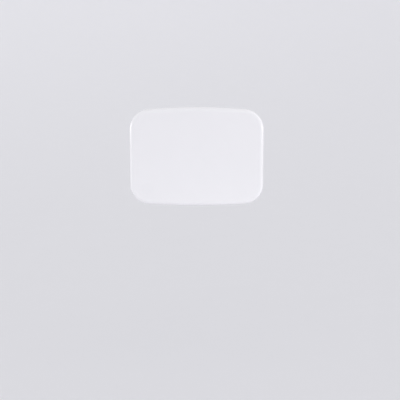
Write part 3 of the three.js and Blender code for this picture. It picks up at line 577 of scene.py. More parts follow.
def housing_shell():
    """The housing without its tubes and holes, with its tongue."""
    rolled = [ring(case_outline(taper_at(-REAR_EDGE_RADIUS) + REAR_EDGE_RADIUS * (1 - sine)), "y",
        -REAR_EDGE_RADIUS * (1 - cosine)) for sine, cosine in quarter_turn(7)]
    tongue_outer, tongue_inner = WALL + GAP, WALL + 1.2
    start, tongue_end = HOUSING_START, HOUSING_START - 1.75
    small = 0.2
    fillet = 0.8
    return loft([
        *rear_rings(0, 0, REAR_EDGE_RADIUS),
        *rolled,
        *wall_rings(*((0, y) for y in (-2.5, -4, -5.5, -7, -8.5, -10))),
        *wall_rings((0, start + EDGE_BREAK), (EDGE_BREAK * 0.3, start + EDGE_BREAK * 0.3),
            (EDGE_BREAK, start), (tongue_outer, start), (tongue_outer, tongue_end + small),
            (tongue_outer + small, tongue_end), (tongue_inner - small, tongue_end),
            (tongue_inner, tongue_end + small), (tongue_inner, start + 2), (WALL, start + 3.2)),
        *wall_rings((WALL, -7), (WALL, -5), (WALL, -REAR_WALL - fillet),
            (WALL + 0.25, -REAR_WALL - 0.25), (WALL + fillet, -REAR_WALL)),
        *reversed(rear_rings(WALL, -REAR_WALL, fillet)),
    ], (0, 0, BODY_MIDDLE), (0, -REAR_WALL, BODY_MIDDLE))


# ---- case pieces ----

BOSS_RADIUS = 3.6
POST_RADIUS = 2.6
HEAD_RADIUS, SHANK_RADIUS, SMALL_SHANK_RADIUS = 2.2, 1.1, 0.9
CASE_SCREW = (HEAD_RADIUS, 1.7, SHANK_RADIUS)
BOARD_SCREW = (2.0, 1.3, SMALL_SHANK_RADIUS)
SCREW_SEAT_Y = -8
BUTTON_RADIUS = 1.8
BUTTON_RIM = 0.7
FORK_HALF_WIDTH = 1.2
FORK_REACH = 1.5
FORK_FRONT, FORK_REAR = -28, -21
VENT_COUNT, VENT_PITCH, VENT_WIDTH = 9, 4, 1.6
VENT_START, VENT_END = -9, -3.5
VENT_CUTS = ((46, 60), (-25, -12.5))


def button_outline(margin):
    """The reset button's cap in Y and Z, grown by a margin."""
    low, high = box("reset_button")[:2]
    rim = BUTTON_RIM - margin
    return rounded_rectangle(low.y + rim, high.y - rim, low.z + rim, high.z - rim,
        BUTTON_RADIUS + margin, 10)


def antenna_forks():
    """Forked ribs that hold the two antenna boards."""
    blocks = []
    for node in ("antenna_1", "antenna_2"):
        low, high = box(node)[:2]
        bottom, top = low.z - FORK_REACH, high.z + FORK_REACH
        for x in (low.x + 5, high.x - 5):
            for z0, z1, rear in ((bottom, low.z - GAP, FORK_REAR), (high.z + GAP, top, FORK_REAR),
                    (bottom, top, low.y - GAP)):
                blocks.append(block(x - FORK_HALF_WIDTH, x + FORK_HALF_WIDTH, FORK_FRONT, rear,
                    z0, z1, 0.25))
    return blocks


def bars(nodes, radius, y_rear, y_front, *shape):
    return [bar(*place_of(node), radius, y_rear, y_front, *shape) for node in nodes]


def bosses(nodes, radius, y_rear):
    """Bars from inside the front wall, one at each screw's place."""
    return [bar(*place, radius, y_rear, face_y(*place) + WALL / 2) for place in map(place_of, nodes)]


def make_cover():
    boss_start = COVER_END - 0.85
    board_front = box("logic_board")[0].y
    light_low, light_high = box("status_light_pipe")[:2]
    light_radius = (light_high.x - light_low.x) / 2
    wall_x = HALF_WIDTH - taper_at(box("reset_button")[2].y)
    cover = fused(cover_shell(), *bosses(CASE_SCREWS, BOSS_RADIUS, boss_start),
        *bosses(LOGIC_SCREWS, POST_RADIUS, board_front - GAP), *antenna_forks())
    return cleaned(cut(
        cover, *bars(CASE_SCREWS, SHANK_RADIUS + GAP, boss_start + 1, box(CASE_SCREWS[0])[0].y - 1),
        *bars(LOGIC_SCREWS, SMALL_SHANK_RADIUS + GAP, board_front, -27),
        *bars(["status_light_pipe"], light_radius + GAP, light_high.y, light_low.y - GAP, 64),
        prism(button_outline(GAP), "x", wall_x - 8, wall_x + 2)))


def vent_slots():
    """Slots with round ends through the top and bottom walls."""
    half = VENT_WIDTH / 2
    shapes = [rounded_rectangle(x - half, x + half, VENT_START, VENT_END, half - 0.01, 8)
        for x in spread(VENT_COUNT, VENT_PITCH)]
    return [prism(shape, "z", *ends) for shape in shapes for ends in VENT_CUTS]


def make_housing():
    board_rear = box("power_board")[1].y
    housing = fused(housing_shell(), *bars(CASE_SCREWS, BOSS_RADIUS, -1, COVER_END - 0.55),
        *bars(POWER_SCREWS, POST_RADIUS, -1, board_rear + GAP))
    holes = [*bars(CASE_SCREWS, HEAD_RADIUS + GAP, 0, SCREW_SEAT_Y, 48, 0.35),
        *bars(CASE_SCREWS, SHANK_RADIUS + GAP, -4, -20),
        *bars(POWER_SCREWS, SMALL_SHANK_RADIUS + GAP, -REAR_WALL, -10)]
    for node in BLADES:
        slot, mouth = grown(node, GAP, 0.3, 4), grown(node, 2 * GAP, 0.6, 4)
        stations = ((mouth, 1), (mouth, 0), (slot, -GAP), (slot, -4))
        holes.append(loft([ring(shape, "y", y) for shape, y in stations]))
    label_recess = prism(grown("rating_label", 0.4, 2, 8), "y", 1, -0.6)
    return cleaned(cut(housing, *holes, label_recess, *vent_slots()))


def make_label():
    low, high = box("rating_label")[:2]
    return softened(prism(grown("rating_label", 0, 1.6, 8), "y", low.y, high.y), 0.05, 2)


def make_label_print():
    """Thin printed frame, and a rule across its lower part."""
    low, high = box("rating_label")[:2]
    margin, line, radius = 1.3, 0.22, 1.2
    face, print_face = high.y, high.y + 0.02
    border = cut(prism(grown("rating_label", -margin, radius, 8), "y", face, print_face),
        prism(grown("rating_label", -margin - line, radius - line, 8), "y", face - 1, face + 1))
    rule_z = low.z + 6
    rule = block(low.x + 2 * margin, high.x - 2 * margin, face, print_face, rule_z, rule_z + line,
        0.08, 2)
    return joined(border, rule)


def screw(node, head_radius, head, shank_radius, way=-1):
    """Pan-head screw with a cross recess and a thread; way is where along Y it points."""
    low, high, middle = box(node)[:3]
    start = Vector((middle.x, high.y if way < 0 else low.y, middle.z))
    forward = Vector((0, way, 0))
    length = high.y - low.y
    core = shank_radius * 0.8
    pitch = 0.8
    profile = [(0, 0)]
    profile += [(head_radius * (0.45 + 0.55 * sine), head * 0.62 * (1 - cosine))
        for sine, cosine in quarter_turn(6)]
    profile += [(head_radius, head * 0.9), (head_radius * 0.95, head), (shank_radius, head)]
    for turn in range(int((length - head - 1.6) / pitch)):
        root = head + 0.4 + turn * pitch
        profile += [(core, root), (core, root + pitch * 0.35), (shank_radius, root + pitch * 0.5),
            (core, root + pitch * 0.65)]
    profile += [(core, length - 1), (shank_radius * 0.2, length - 0.02), (0, length)]
    recesses = cross(start, forward, Vector((1, 0, 0)), head_radius * 0.62, head_radius * 0.13,
        -0.1, head * 0.75, 0.45)
    return cut(lathe(profile, start, forward, 40), *recesses)


finished("cover_moulding", make_cover(), COVER_WHITE, "front_cover")
finished("housing_moulding", make_housing(), CASE_WHITE, "rear_housing")
finished("rating_label_film", make_label(), LABEL_GREY, "rating_label")
finished("rating_label_print", make_label_print(), LABEL_INK)
for node in CASE_SCREWS:
    finished(f"{node}_turned", screw(node, *CASE_SCREW), SCREW_STEEL, node)


# ---- plug blades and reset button ----

def make_blade(node):
    """Flat blade with chamfered corners, a hole and a narrower tail."""
    low, high, middle, half = box(node)
    tail, shoulder, chamfer = 1.5, -3.2, 1.3
    hole_radius, hole_y = 1.6, 11.9
    side = [(low.y, tail), (shoulder, tail), (shoulder, half.z), (high.y - chamfer, half.z),
        (high.y, half.z - chamfer)]
    shape = [(y, -z) for y, z in side] + side[::-1]
    hole = lathe([(0, 0), (hole_radius, 0), (hole_radius, 6), (0, 6)], (middle.x - 3, hole_y, 0),
        (1, 0, 0), 48)
    return softened(cut(prism(shape, "x", low.x, high.x), hole), 0.3, 4)


for node in BLADES:
    finished(f"{node}_stamping", make_blade(node), BLADE_METAL, node)


def make_button():
    """Dished cap with a rolled edge, its flange and its post."""
    low, high, middle = box("reset_button")[:3]
    y, z = middle.y, middle.z
    flange_front = HALF_WIDTH - taper_at(high.y) - WALL - GAP
    flange_rear = flange_front - 0.8
    edge, dish, soft = 0.55, 0.12, 0.15
    rings = [ring(scaled(button_outline(-edge), scale, y, z), "x", high.x - dish * (1 - scale ** 2))
        for scale in (0.3, 0.6, 0.85)]
    rings += [ring(button_outline(-edge * (1 - sine)), "x", high.x - edge * (1 - cosine))
        for sine, cosine in quarter_turn(5)]
    rings += [ring(button_outline(margin), "x", x) for margin, x in (
        (0, flange_front), (BUTTON_RIM - soft, flange_front), (BUTTON_RIM, flange_front - soft),
        (BUTTON_RIM, flange_rear + soft), (BUTTON_RIM - soft, flange_rear))]
    post_y = box("reset_switch_plunger")[2].y
    post = rounded_rectangle(post_y - 1.1, post_y + 1.1, z - 1.5, z + 1.5, 0.3, 4)
    return fused(loft(rings, (high.x - dish, y, z), (flange_rear, y, z)),
        prism(post, "x", low.x, flange_rear + 0.4))


finished("reset_button_cap", make_button(), CASE_WHITE, "reset_button", body="button")


# ---- shapes shared by the inner pieces ----

POWER_FRONT, POWER_REAR = (corner.y for corner in box("power_board")[:2])
LOGIC_FRONT, LOGIC_REAR = (corner.y for corner in box("logic_board")[:2])
LEAD_RADIUS = 0.3
LEAD_END = POWER_REAR + 0.7
solder_places = [place_of(node) for node in BLADES]


def from_cad(node, width, segments):
    """The solid of a CAD node with its edges rounded off."""
    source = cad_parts[node].data
    mesh = bpy.data.meshes.new("from_cad")
    mesh.from_pydata([v.co / MM for v in source.vertices], [], [tuple(p.vertices) for p in source.polygons])
    return softened(cleaned(mesh), width, segments)


def rounded(node, ending, material, width, segments=2, slot=None):
    """A piece that is a CAD node's own solid, rounded off."""
    return finished(f"{node}_{ending}", from_cad(node, width, segments), material, node, slot=slot)


def painted(obj, material, chosen):
    """Gives chosen faces a second material."""
    obj.data.materials.append(material)
    for face in obj.data.polygons:
        if chosen(face.center / MM):
            face.material_index = 1


def smooth_path(points, steps):
    """Catmull-Rom curve through points."""
    points = [Vector(point) for point in points]
    ends = [2 * points[0] - points[1], *points, 2 * points[-1] - points[-2]]
    path = []
    for a, b, c, d in zip(ends, ends[1:], ends[2:], ends[3:]):
        for step in range(steps):
            t = step / steps
            path.append(0.5 * (2 * b + (c - a) * t + (2 * a - 5 * b + 4 * c - d) * t * t
                + (3 * b - a - 3 * c + d) * t ** 3))
    return [*path, points[-1]]


def wire(points, radius, sides=12):
    """Round wire along points."""
    rings = []
    across = None
    for i, point in enumerate(points):
        way = (points[min(i + 1, len(points) - 1)] - points[max(i - 1, 0)]).normalized()
        across = way.orthogonal() if across is None else across - way * across.dot(way)
        across.normalize()
        beside = way.cross(across)
        rings.append([point + u * across + v * beside for u, v in circle(radius, sides)])
    return loft(rings)


def bent_wire(corners, bend):
    """Lead wire with bends of a given radius."""
    corners = [Vector(corner) for corner in corners]
    path = [corners[0]]
    for before, corner, after in zip(corners, corners[1:], corners[2:]):
        start = corner + (before - corner).normalized() * bend
        end = corner + (after - corner).normalized() * bend
        for step in range(7):
            t = step / 6
            path.append(start.lerp(corner, t).lerp(corner.lerp(end, t), t))
    return wire([*path, corners[-1]], LEAD_RADIUS)


def board_leads(name, routes, bend=0.0, material=TIN):
    """Leads as one piece, each along its route and through the power board."""
    wires = []
    for route in routes:
        x, _, z = route[-1]
        solder_places.append((x, z))
        wires.append(bent_wire([*route, (x, LEAD_END, z)], bend))
    finished(name, joined(*wires), material)


def lead_pair(middle, reach, y):
    """Starts of two straight leads."""
    return [[(middle.x + side * reach, y, middle.z)] for side in (-1, 1)]


# ---- plug block and boards ----

rounded("blade_holder", "block", HOLDER_PLASTIC, 0.25)
rounded("power_board", "panel", BOARD_GREEN, 0.08, 1)
rounded("logic_board", "panel", BOARD_GREEN, 0.08, 1)
for nodes, way in ((POWER_SCREWS, 1), (LOGIC_SCREWS, -1)):
    for node in nodes:
        finished(f"{node}_turned", screw(node, *BOARD_SCREW, way), SCREW_STEEL, node)


# ---- power board parts ----

def make_fuse():
    """Ceramic tube with pressed end caps."""
    low, high, middle, half = box("fuse")
    x, y, radius = middle.x, middle.y, half.x
    length = high.z - low.z
    thin = radius - 0.15
    cap_end = 1.7
    end = [(radius * 0.8, 0), (radius, 0.3), (radius, cap_end - 0.1), (thin, cap_end + 0.05)]
    tube = lathe(same_ends(end, length), (x, y, low.z), (0, 0, 1))
    tube = finished("fuse_tube", tube, FUSE_BODY, "fuse")
    painted(tube, TIN, lambda at: not low.z + cap_end < at.z < high.z - cap_end)
    board_leads("fuse_leads", [[(x, y, z - way * 0.1), (x, y, z + way * 1.2)]
        for z, way in ((low.z, -1), (high.z, 1))], 0.5)


def make_disc(node):
    """Lacquered disc on two leads, with lacquer run down them."""
    middle, half = box(node)[2:]
    radius = half.x
    y = box(node)[0].y + radius
    foot_y = y + radius * 0.62
    reach = radius * 0.55
    edge = [(r * radius, w * half.z) for r, w in ((0.45, 1), (0.72, 0.9), (0.9, 0.62), (0.98, 0.3))]
    profile = [(0, -half.z), *((r, -w) for r, w in edge), (radius, 0), *edge[::-1], (0, half.z)]
    run = [(0, 0), (0.75, 0), (0.62, 1.2), (0.4, 1.8), (0, 1.85)]
    runs = [lathe(run, (middle.x + side * reach, foot_y, middle.z), (0, 1, 0), 20) for side in (-1, 1)]
    disc = lathe(profile, (middle.x, y, middle.z), (0, 0, 1), 56)
    finished(f"{node}_disc", fused(disc, *runs), DISC_BLUE, node)
    board_leads(f"{node}_leads", lead_pair(middle, reach, foot_y))


def make_film_capacitor():
    """Case filled through a shallow well in its rear."""
    low, high, middle = box("noise_capacitor")[:3]
    rim = 0.6
    case = softened(block(low.x, high.x, low.y, high.y, low.z, high.z, 0.4, 4), 0.35)
    well = block(low.x + rim, high.x - rim, high.y - 0.3, high.y + 1, low.z + rim, high.z - rim)
    finished("noise_capacitor_case", cut(case, well), FILM_YELLOW, "noise_capacitor")
    board_leads("noise_capacitor_leads", lead_pair(middle, 5, high.y - 0.5))


def make_choke():
    """Coated ring core with a coil of thick enamelled wire on each side."""
    middle = box("common_mode_choke")[2]
    mean, across, deep = 4, 1.6, 2.2
    section = rounded_rectangle(mean - across, mean + across, -deep, deep, 0.5, 4)
    core = hoop([[middle + Vector((r * u, y, r * v)) for r, y in section] for u, v in circle(1, 64)])
    finished("common_mode_choke_core", core, CORE_COATING, "common_mode_choke")
    thick = 0.4
    turns, steps, fan = 6, 36, radians(120)
    coils = []
    for side in (0, pi):
        path = []
        for k in range(turns * steps + 1):
            share = k / (turns * steps)
            turn = side + (share - 0.5) * fan
            roll = 2 * pi * turns * share + pi / 2
            sine, cosine = sin(roll), cos(roll)
            squareness = max(abs(cosine), abs(sine)) ** -0.55
            r = mean + (across + thick) * squareness * cosine
            y = (deep + thick) * copysign(min(1, squareness * abs(sine)), sine)
            path.append(middle + Vector((r * cos(turn), y, r * sin(turn))))
        feet = [Vector((end.x, LEAD_END, end.z)) for end in (path[0], path[-1])]
        solder_places.extend((foot.x, foot.z) for foot in feet)
        coils.append(wire([feet[0], *path, feet[1]], thick, 10))
    finished("common_mode_choke_coils", joined(*coils), COPPER)


def make_chip(node, count, pitch, leg_width, seat, outward):
    """Package with gull-wing legs; outward is the side away from the board."""
    low, high, middle, half = box(node)
    toe = half.z
    body_end = toe - 1
    top = high.y if outward > 0 else low.y
    stand, draft, thick = outward * 0.1, 0.12, outward * 0.18
    waist = (seat + stand + top) / 2
    rings = []
    for shrink, y in ((draft + 0.1, seat + stand), (draft, seat + 2 * stand), (0, waist),
            (draft, top - stand), (draft + 0.1, top)):
        u, v = half.x - shrink, body_end - shrink
        rings.append(ring(rounded_rectangle(middle.x - u, middle.x + u, middle.z - v, middle.z + v,
            0.15, 3), "y", y))
    dot = lathe([(0, -0.1), (0.35, -0.1), (0.3, 0.08), (0, 0.08)],
        (low.x + 0.9, top, middle.z + body_end - 0.9), (0, -outward, 0), 24)
    finished(f"{node}_body", cut(loft(rings), dot), PACKAGE_BLACK, node)
    start, knee = body_end - 0.2, body_end + 0.35
    leg = [(waist, start), (waist, knee), (seat + thick, knee + 0.25), (seat + thick, toe),
        (seat, toe), (seat, knee + 0.1), (waist - thick, knee - 0.1), (waist - thick, start)]
    legs = [prism([(y, middle.z + end * z) for y, z in leg], "x",
        middle.x + x - leg_width / 2, middle.x + x + leg_width / 2)
        for end in (-1, 1) for x in spread(count, pitch)]
    finished(f"{node}_legs", joined(*legs), TIN)


def make_can(node, start, way, radius, length):
    """Sleeved can with a rolled neck, a scored top and a pale band."""
    start, way = Vector(start), Vector(way)
    sleeve_end = length - 0.25
    neck = radius * 0.93
    profile = [(0, 0.25), (radius * 0.62, 0.25), (radius * 0.66, 0), (neck, 0), (radius, 0.3),
        (radius, 1.2), (neck, 1.55), (neck, 1.8), (radius, 2.2), (radius, sleeve_end - 0.4),
        (radius * 0.97, sleeve_end), (radius * 0.84, sleeve_end), (0, sleeve_end - 0.1)]
    sleeve = finished(f"{node}_sleeve", lathe(profile, start, way, 56), SLEEVE, node)
    side = way.orthogonal().normalized()
    band = radius * 0.97 * cos(radians(24))
    painted(sleeve, SLEEVE_BAND, lambda at: (at - start).dot(side) > band
        and 0.3 < (at - start).dot(way) < sleeve_end)
    top = lathe([(0, sleeve_end - 0.4), (radius * 0.83, sleeve_end - 0.4), (radius * 0.83, length - 0.15),
        (radius * 0.76, length - 0.06), (0, length)], start, way, 56)
    scores = cross(start, way, side, radius * 0.5, 0.09, length - 0.1, length + 0.4)
    finished(f"{node}_top", cut(top, *scores), ALUMINIUM)


def make_capacitors():
    """Two cans that lie across the board and two that stand on it."""
    lead_reach = 1.25
    for node in ("bulk_capacitor_1", "bulk_capacitor_2"):
        low, high, middle, half = box(node)
        make_can(node, (low.x, middle.y, middle.z), (1, 0, 0), half.z, high.x - low.x)
        board_leads(f"{node}_leads", [[(x, middle.y, middle.z + side * lead_reach)
            for x in (low.x + 0.4, low.x - 1.4)] for side in (-1, 1)], 0.7)
    for node in ("output_capacitor_1", "output_capacitor_2"):
        low, high, middle, half = box(node)
        make_can(node, (middle.x, high.y, middle.z), (0, -1, 0), half.x, high.y - low.y)
        board_leads(f"{node}_leads", lead_pair(middle, lead_reach, high.y - 0.4))


def make_inductor():
    """Drum core with a winding between its two flanges."""
    low, high, middle, half = box("output_inductor")
    start = (middle.x, high.y, middle.z)
    radius, length = half.x, high.y - low.y
    flange, soft = 0.95, 0.15
    end = [(radius - soft, 0), (radius, soft), (radius, flange), (radius * 0.6, flange)]
    core = lathe(same_ends(end, length), start, (0, -1, 0))
    finished("output_inductor_core", core, FERRITE, "output_inductor")
    pitch = 0.42
    turns = int((length - 2 * flange) / pitch)
    inside, outside = radius * 0.62, radius * 0.88
    profile = [(inside, flange + 0.02)]
    for turn in range(turns):
        for step in range(5):
            roll = step / 4 * pi
            profile.append((outside + pitch * 0.45 * sin(roll),
                flange + pitch * (turn + (1 - cos(roll)) / 2)))
    profile.append((inside, flange + pitch * turns))
    coil = hoop([[(middle.x + u, high.y - distance, middle.z + v) for u, v in circle(r, 48)]
        for r, distance in profile])
    finished("output_inductor_coil", coil, COPPER)
    board_leads("output_inductor_leads", lead_pair(middle, 2, high.y - 0.2))


def make_transformer():
    """Ferrite core round a taped winding, on a bobbin with pins."""
    rounded("transformer_core", "halves", FERRITE, 0.3, 3)
    low, high = box("transformer_winding")[:2]
    layers, half_leg = 5, 2
    rings = []
    for k in range(2 * layers + 1):
        tuck = 0 if k % 2 else 0.06
        rings.append(ring(rounded_rectangle(low.y + tuck, high.y - tuck, low.z + tuck, high.z - tuck, 1.6),
            "x", low.x + (high.x - low.x) * k / (2 * layers)))
    core_low, core_high, core = box("transformer_core")[:3]
    leg = block(core_low.x, core_high.x, core_low.y - GAP, core_high.y + GAP, core.z - half_leg,
        core.z + half_leg)
    finished("transformer_winding_tape", cut(loft(rings), leg), WINDING_TAPE, "transformer_winding")
    bobbin = rounded("transformer_bobbin", "moulding", HOLDER_PLASTIC, 0.12)
    pins_end = box("transformer_bobbin")[0].y + 0.55
    painted(bobbin, TIN, lambda at: at.y < pins_end)
    bobbin_x = place_of("transformer_bobbin")[0]
    board_leads("transformer_pins", [[(bobbin_x + x, POWER_FRONT - 0.4, core.z + z)]
        for z in (-8.1, 8.1) for x in spread(4, 3)])


make_fuse()
make_disc("varistor")
make_disc("safety_capacitor")
make_film_capacitor()
make_choke()
make_chip("bridge_rectifier", 2, 2.5, 0.6, POWER_FRONT, -1)
make_chip("power_controller_chip", 4, 1.27, 0.42, POWER_FRONT, -1)
make_chip("optocoupler", 2, 2.54, 0.5, POWER_FRONT, -1)
make_chip("flash_chip", 4, 1.27, 0.42, LOGIC_REAR, 1)
make_capacitors()
make_inductor()
make_transformer()


# ---- link, sheet, spreader, pads and shields ----

header = rounded("board_header", "block", PACKAGE_BLACK, 0.1)
header_body = box("board_header")[1].y - 3.05
painted(header, GOLD, lambda at: at.y < header_body)
link_x, link_z = place_of("board_header")
board_leads("board_header_tails", [[(link_x + x, POWER_FRONT - 0.4, link_z + z)]
    for x in spread(4, 2.2) for z in (-1.1, 1.1)], material=GOLD)
rounded("board_socket", "block", PACKAGE_BLACK, 0.12)
rounded("insulation_sheet", "film", SHEET_FILM, 0.05, 1)
rounded("heat_spreader", "pressing", ALUMINIUM, 0.18)


def make_pad(node):
    """Soft pad whose sides bulge a little."""
    low, high = box(node)[:2]
    bulge = 0.25
    rings = [ring(grown(node, bulge * (sin(pi * t) - 1), 0.7, 5), "y",
        low.y + (high.y - low.y) * t) for t in (step / 6 for step in range(7))]
    finished(f"{node}_silicone", loft(rings), PAD_GREY, node)


def make_shield(node):
    """Lid with vent holes along two edges and dimples in its sides."""
    low, high, middle = box(node)[:3]
    inset, pitch = 1.5, 2.2
    count = int((high.x - low.x - 2 * inset) / pitch) + 1
    holes = [bar(middle.x + x, z, 0.4, high.y + 0.5, high.y - 1, 16)
        for z in (low.z + inset, high.z - inset) for x in spread(count, pitch)]
    bump = [(0, -0.1), (0.55, 0), (0.4, 0.12), (0, 0.16)]
    dimples = [lathe(bump, (x, middle.y - 0.2, middle.z + z), (way, 0, 0), 20)
        for x, way in ((low.x, -1), (high.x, 1)) for z in spread(3, 4)]
    lid = cut(from_cad(node, 0.22, 3), joined(*holes))
    finished(f"{node}_lid", fused(lid, joined(*dimples)), SHIELD_TIN, node)


def make_ball_chip(node):
    """Square package on solder balls, with a step round its lid and a dot."""
    low, high, middle, half = box(node)
    substrate = block(low.x, high.x, low.y + 0.15, low.y + 0.4, low.z, high.z, 0.15)
    inset = 0.35
    lid = softened(block(low.x + inset, high.x - inset, low.y + 0.35, high.y, low.z + inset,
        high.z - inset, 0.2), 0.06, 2)
    dot = bar(low.x + 1.2, high.z - 1.2, 0.35, high.y + 0.1, high.y - 0.06, 20)
    finished(f"{node}_body", cleaned(fused(cut(lid, dot), substrate)), PACKAGE_BLACK, node)
    pitch = 1
    columns, rows = (spread(int((2 * size - 0.8) / pitch) + 1, pitch) for size in (half.x, half.z))
    ball = [(0, 0), (0.2, 0), (0.27, 0.2), (0.2, 0.42), (0, 0.45)]
    balls = [lathe(ball, (middle.x + x, LOGIC_REAR, middle.z + z), (0, 1, 0), 10)
        for x in columns for z in rows if x not in columns[2:-2] or z not in rows[2:-2]]
    finished(f"{node}_balls", joined(*balls), SOLDER)


for name in ("processor", "radio_1", "radio_2"):
    make_pad(f"{name}_thermal_pad")
    make_shield(f"{name}_shield")
for node in ("processor_chip", "memory_chip", "radio_1_chip", "radio_2_chip"):
    make_ball_chip(node)


# ---- small parts, solder and print on the boards ----

def small_parts(name, seat, outward, rows):
    """Chip resistors and capacitors: ceramic bodies with soldered ends, in straight rows.

    A row is the X and Z of its first part, a count, the steps in X and Z, and a part's length and way.
    """
    bodies, ends = [], []
    for x0, z0, count, step_x, step_z, length, way in rows:
        half, wide, rise = length / 2, length / 4, outward * length * 0.4
        order = 1 if way == "x" else -1
        u, v = (half * 0.94, wide * 0.94)[::order]
        end_u, end_v = (half * 0.24, wide * 1.02)[::order]
        shift_x, shift_z = (half * 0.8, 0)[::order]
        for i in range(count):
            x, z = x0 + i * step_x, z0 + i * step_z
            bodies.append(block(x - u, x + u, seat, seat + rise, z - v, z + v, 0.05, 2))
            for side in (-1, 1):
                end_x, end_z = x + side * shift_x, z + side * shift_z
                ends.append(block(end_x - end_u, end_x + end_u, seat, seat + rise * 1.04,
                    end_z - end_v, end_z + end_v, 0.06, 2))
    finished(f"{name}_bodies", joined(*bodies), PART_BROWN)
    finished(f"{name}_ends", joined(*ends), SOLDER)


small_parts("logic_small_parts_rear", LOGIC_REAR, 1, (
    (-14, 32.5, 11, 2.6, 0, 1.2, "z"), (-9, 7.5, 9, 2.2, 0, 1.2, "x"),
    (-36.5, 12, 7, 0, 2.4, 1.2, "x"), (36.5, 12, 6, 0, 2.4, 1.2, "x"), (-11, 1.5, 5, 3, 0, 1.8, "z")))
small_parts("logic_small_parts_front", LOGIC_FRONT, -1, (
    (-10, 24, 9, 2.4, 0, 1.2, "z"), (-10, 16, 9, 2.4, 0, 1.2, "z"),
    (-30, 18, 5, 2.4, 0, 1.2, "z"), (20, 18, 5, 2.4, 0, 1.2, "z"),
    (-32, -3.5, 4, 2.4, 0, 1.2, "z"), (10, 4, 6, 3, 0, 1.8, "x")))
small_parts("power_small_parts", POWER_FRONT, -1, (
    (-4, 34, 4, 2.6, 0, 1.8, "z"), (18.2, 21, 4, 0, 2.8, 1.8, "z"),
    (-12.5, 20, 4, 0, 2.8, 1.8, "x"), (3, 2, 3, 2.6, 0, 1.8, "z")))


def solder_joints():
    """Cones of solder round the leads that come through the power board."""
    cone = [(0, -0.05), (0.85, -0.05), (0.8, 0.06), (0.55, 0.25), (0.4, 0.5), (0.34, 0.75),
        (0.2, 0.85), (0, 0.88)]
    return joined(*(lathe(cone, (x, POWER_REAR, z), (0, 1, 0), 20) for x, z in solder_places))


def printed_frames(nodes, seat, outward):
    """Thin printed outlines round the parts on a board."""
    margin, line, edge = 0.35, 0.16, 0.02
    print_face = seat + outward * 0.03
    strips = []
    for node in nodes:
        low, high = box(node)[:2]
        x0, x1, z0, z1 = low.x - margin, high.x + margin, low.z - margin, high.z + margin
        for left, right, bottom, top in ((x0, x1, z0, z0 + line), (x0, x1, z1 - line, z1),
                (x0, x0 + line, z0 + line, z1 - line), (x1 - line, x1, z0 + line, z1 - line)):
            strips.append(block(left, right, seat, print_face, bottom, top, edge, 1))
    return joined(*strips)


finished("power_board_solder", solder_joints(), SOLDER)
finished("power_board_print", printed_frames(
    ("varistor", "safety_capacitor", "noise_capacitor", "bulk_capacitor_1", "bulk_capacitor_2",
    "bridge_rectifier", "power_controller_chip", "optocoupler", "transformer_bobbin",
    "board_header"), POWER_FRONT, -1), PRINT_WHITE)
finished("logic_board_print", printed_frames(
    ("processor_shield", "radio_1_shield", "radio_2_shield", "flash_chip", "board_socket",
    "reset_switch"), LOGIC_REAR, 1), PRINT_WHITE)


# ---- status light, switch and antennas ----

led = rounded("status_led", "package", PRINT_WHITE, 0.12, slot="light_dome")
dome_y = box("status_led")[1].y - 0.52
painted(led, LIGHT_DOME, lambda at: at.y < dome_y)


def make_light_pipe():
    """Clear plug with a hollow at the light and a domed front."""
    low, high, middle, half = box("status_light_pipe")
    radius, length = half.x, high.y - low.y
    rim = 1.8
    profile = [(0, 0.1), (1.2, 0.05), (1.65, 0), (rim, 0.12)]
    for step in range(1, 7):
        t = step / 6
        profile.append((rim + (radius - rim) * sin(t * pi / 2) ** 0.8, length * 0.6 * t))
    profile += [(radius, length - 0.15), (radius - 0.15, length), (0, length)]
    return lathe(profile, (middle.x, high.y, middle.z), (0, -1, 0), 64)


def make_switch_clip():
    """Clip over the switch, and its four feet on the board."""
    low, high, middle = box("reset_switch")[:3]
    thick = 0.12
    x0, x1 = low.x + 0.6, high.x - 0.5
    top = high.y + thick
    strap = block(x0, x1, high.y, top, low.z - thick, high.z + thick)
    sides = [block(x0, x1, low.y + 0.4, top, *edges)
        for edges in ((low.z - thick, low.z), (high.z, high.z + thick))]
    feet = [block(x - 0.35, x + 0.35, LOGIC_REAR, LOGIC_REAR + 0.3, middle.z + side * 2.3,
        middle.z + side * 3.2) for x in (low.x + 0.9, high.x - 0.9) for side in (-1, 1)]
    return joined(strap, *sides, *feet)


def make_plunger():
    low, high, middle, half = box("reset_switch_plunger")
    radius, reach = half.z, high.x - low.x
    profile = [(0, 0), (radius * 0.8, 0), (radius, 0.2), (radius, reach - 0.35),
        (radius * 0.8, reach - 0.08), (radius * 0.4, reach), (0, reach)]
    return lathe(profile, (low.x, middle.y, middle.z), (1, 0, 0), 40)


finished("status_light_pipe_lens", make_light_pipe(), LIGHT_CLEAR, "status_light_pipe")
rounded("reset_switch", "body", HOLDER_PLASTIC, 0.12, slot="package_black")
finished("reset_switch_clip", make_switch_clip(), SHIELD_TIN)
finished("reset_switch_plunger_pin", make_plunger(), HOLDER_PLASTIC, "reset_switch_plunger",
    body="button")

COPPER_THICKNESS = 0.035
SOLDER_PAD_X, LEAD_START_Y = 12, -19.2
PLUG_X, PLUG_Z = 20.5, 34.4
JACKET_RADIUS = 0.57


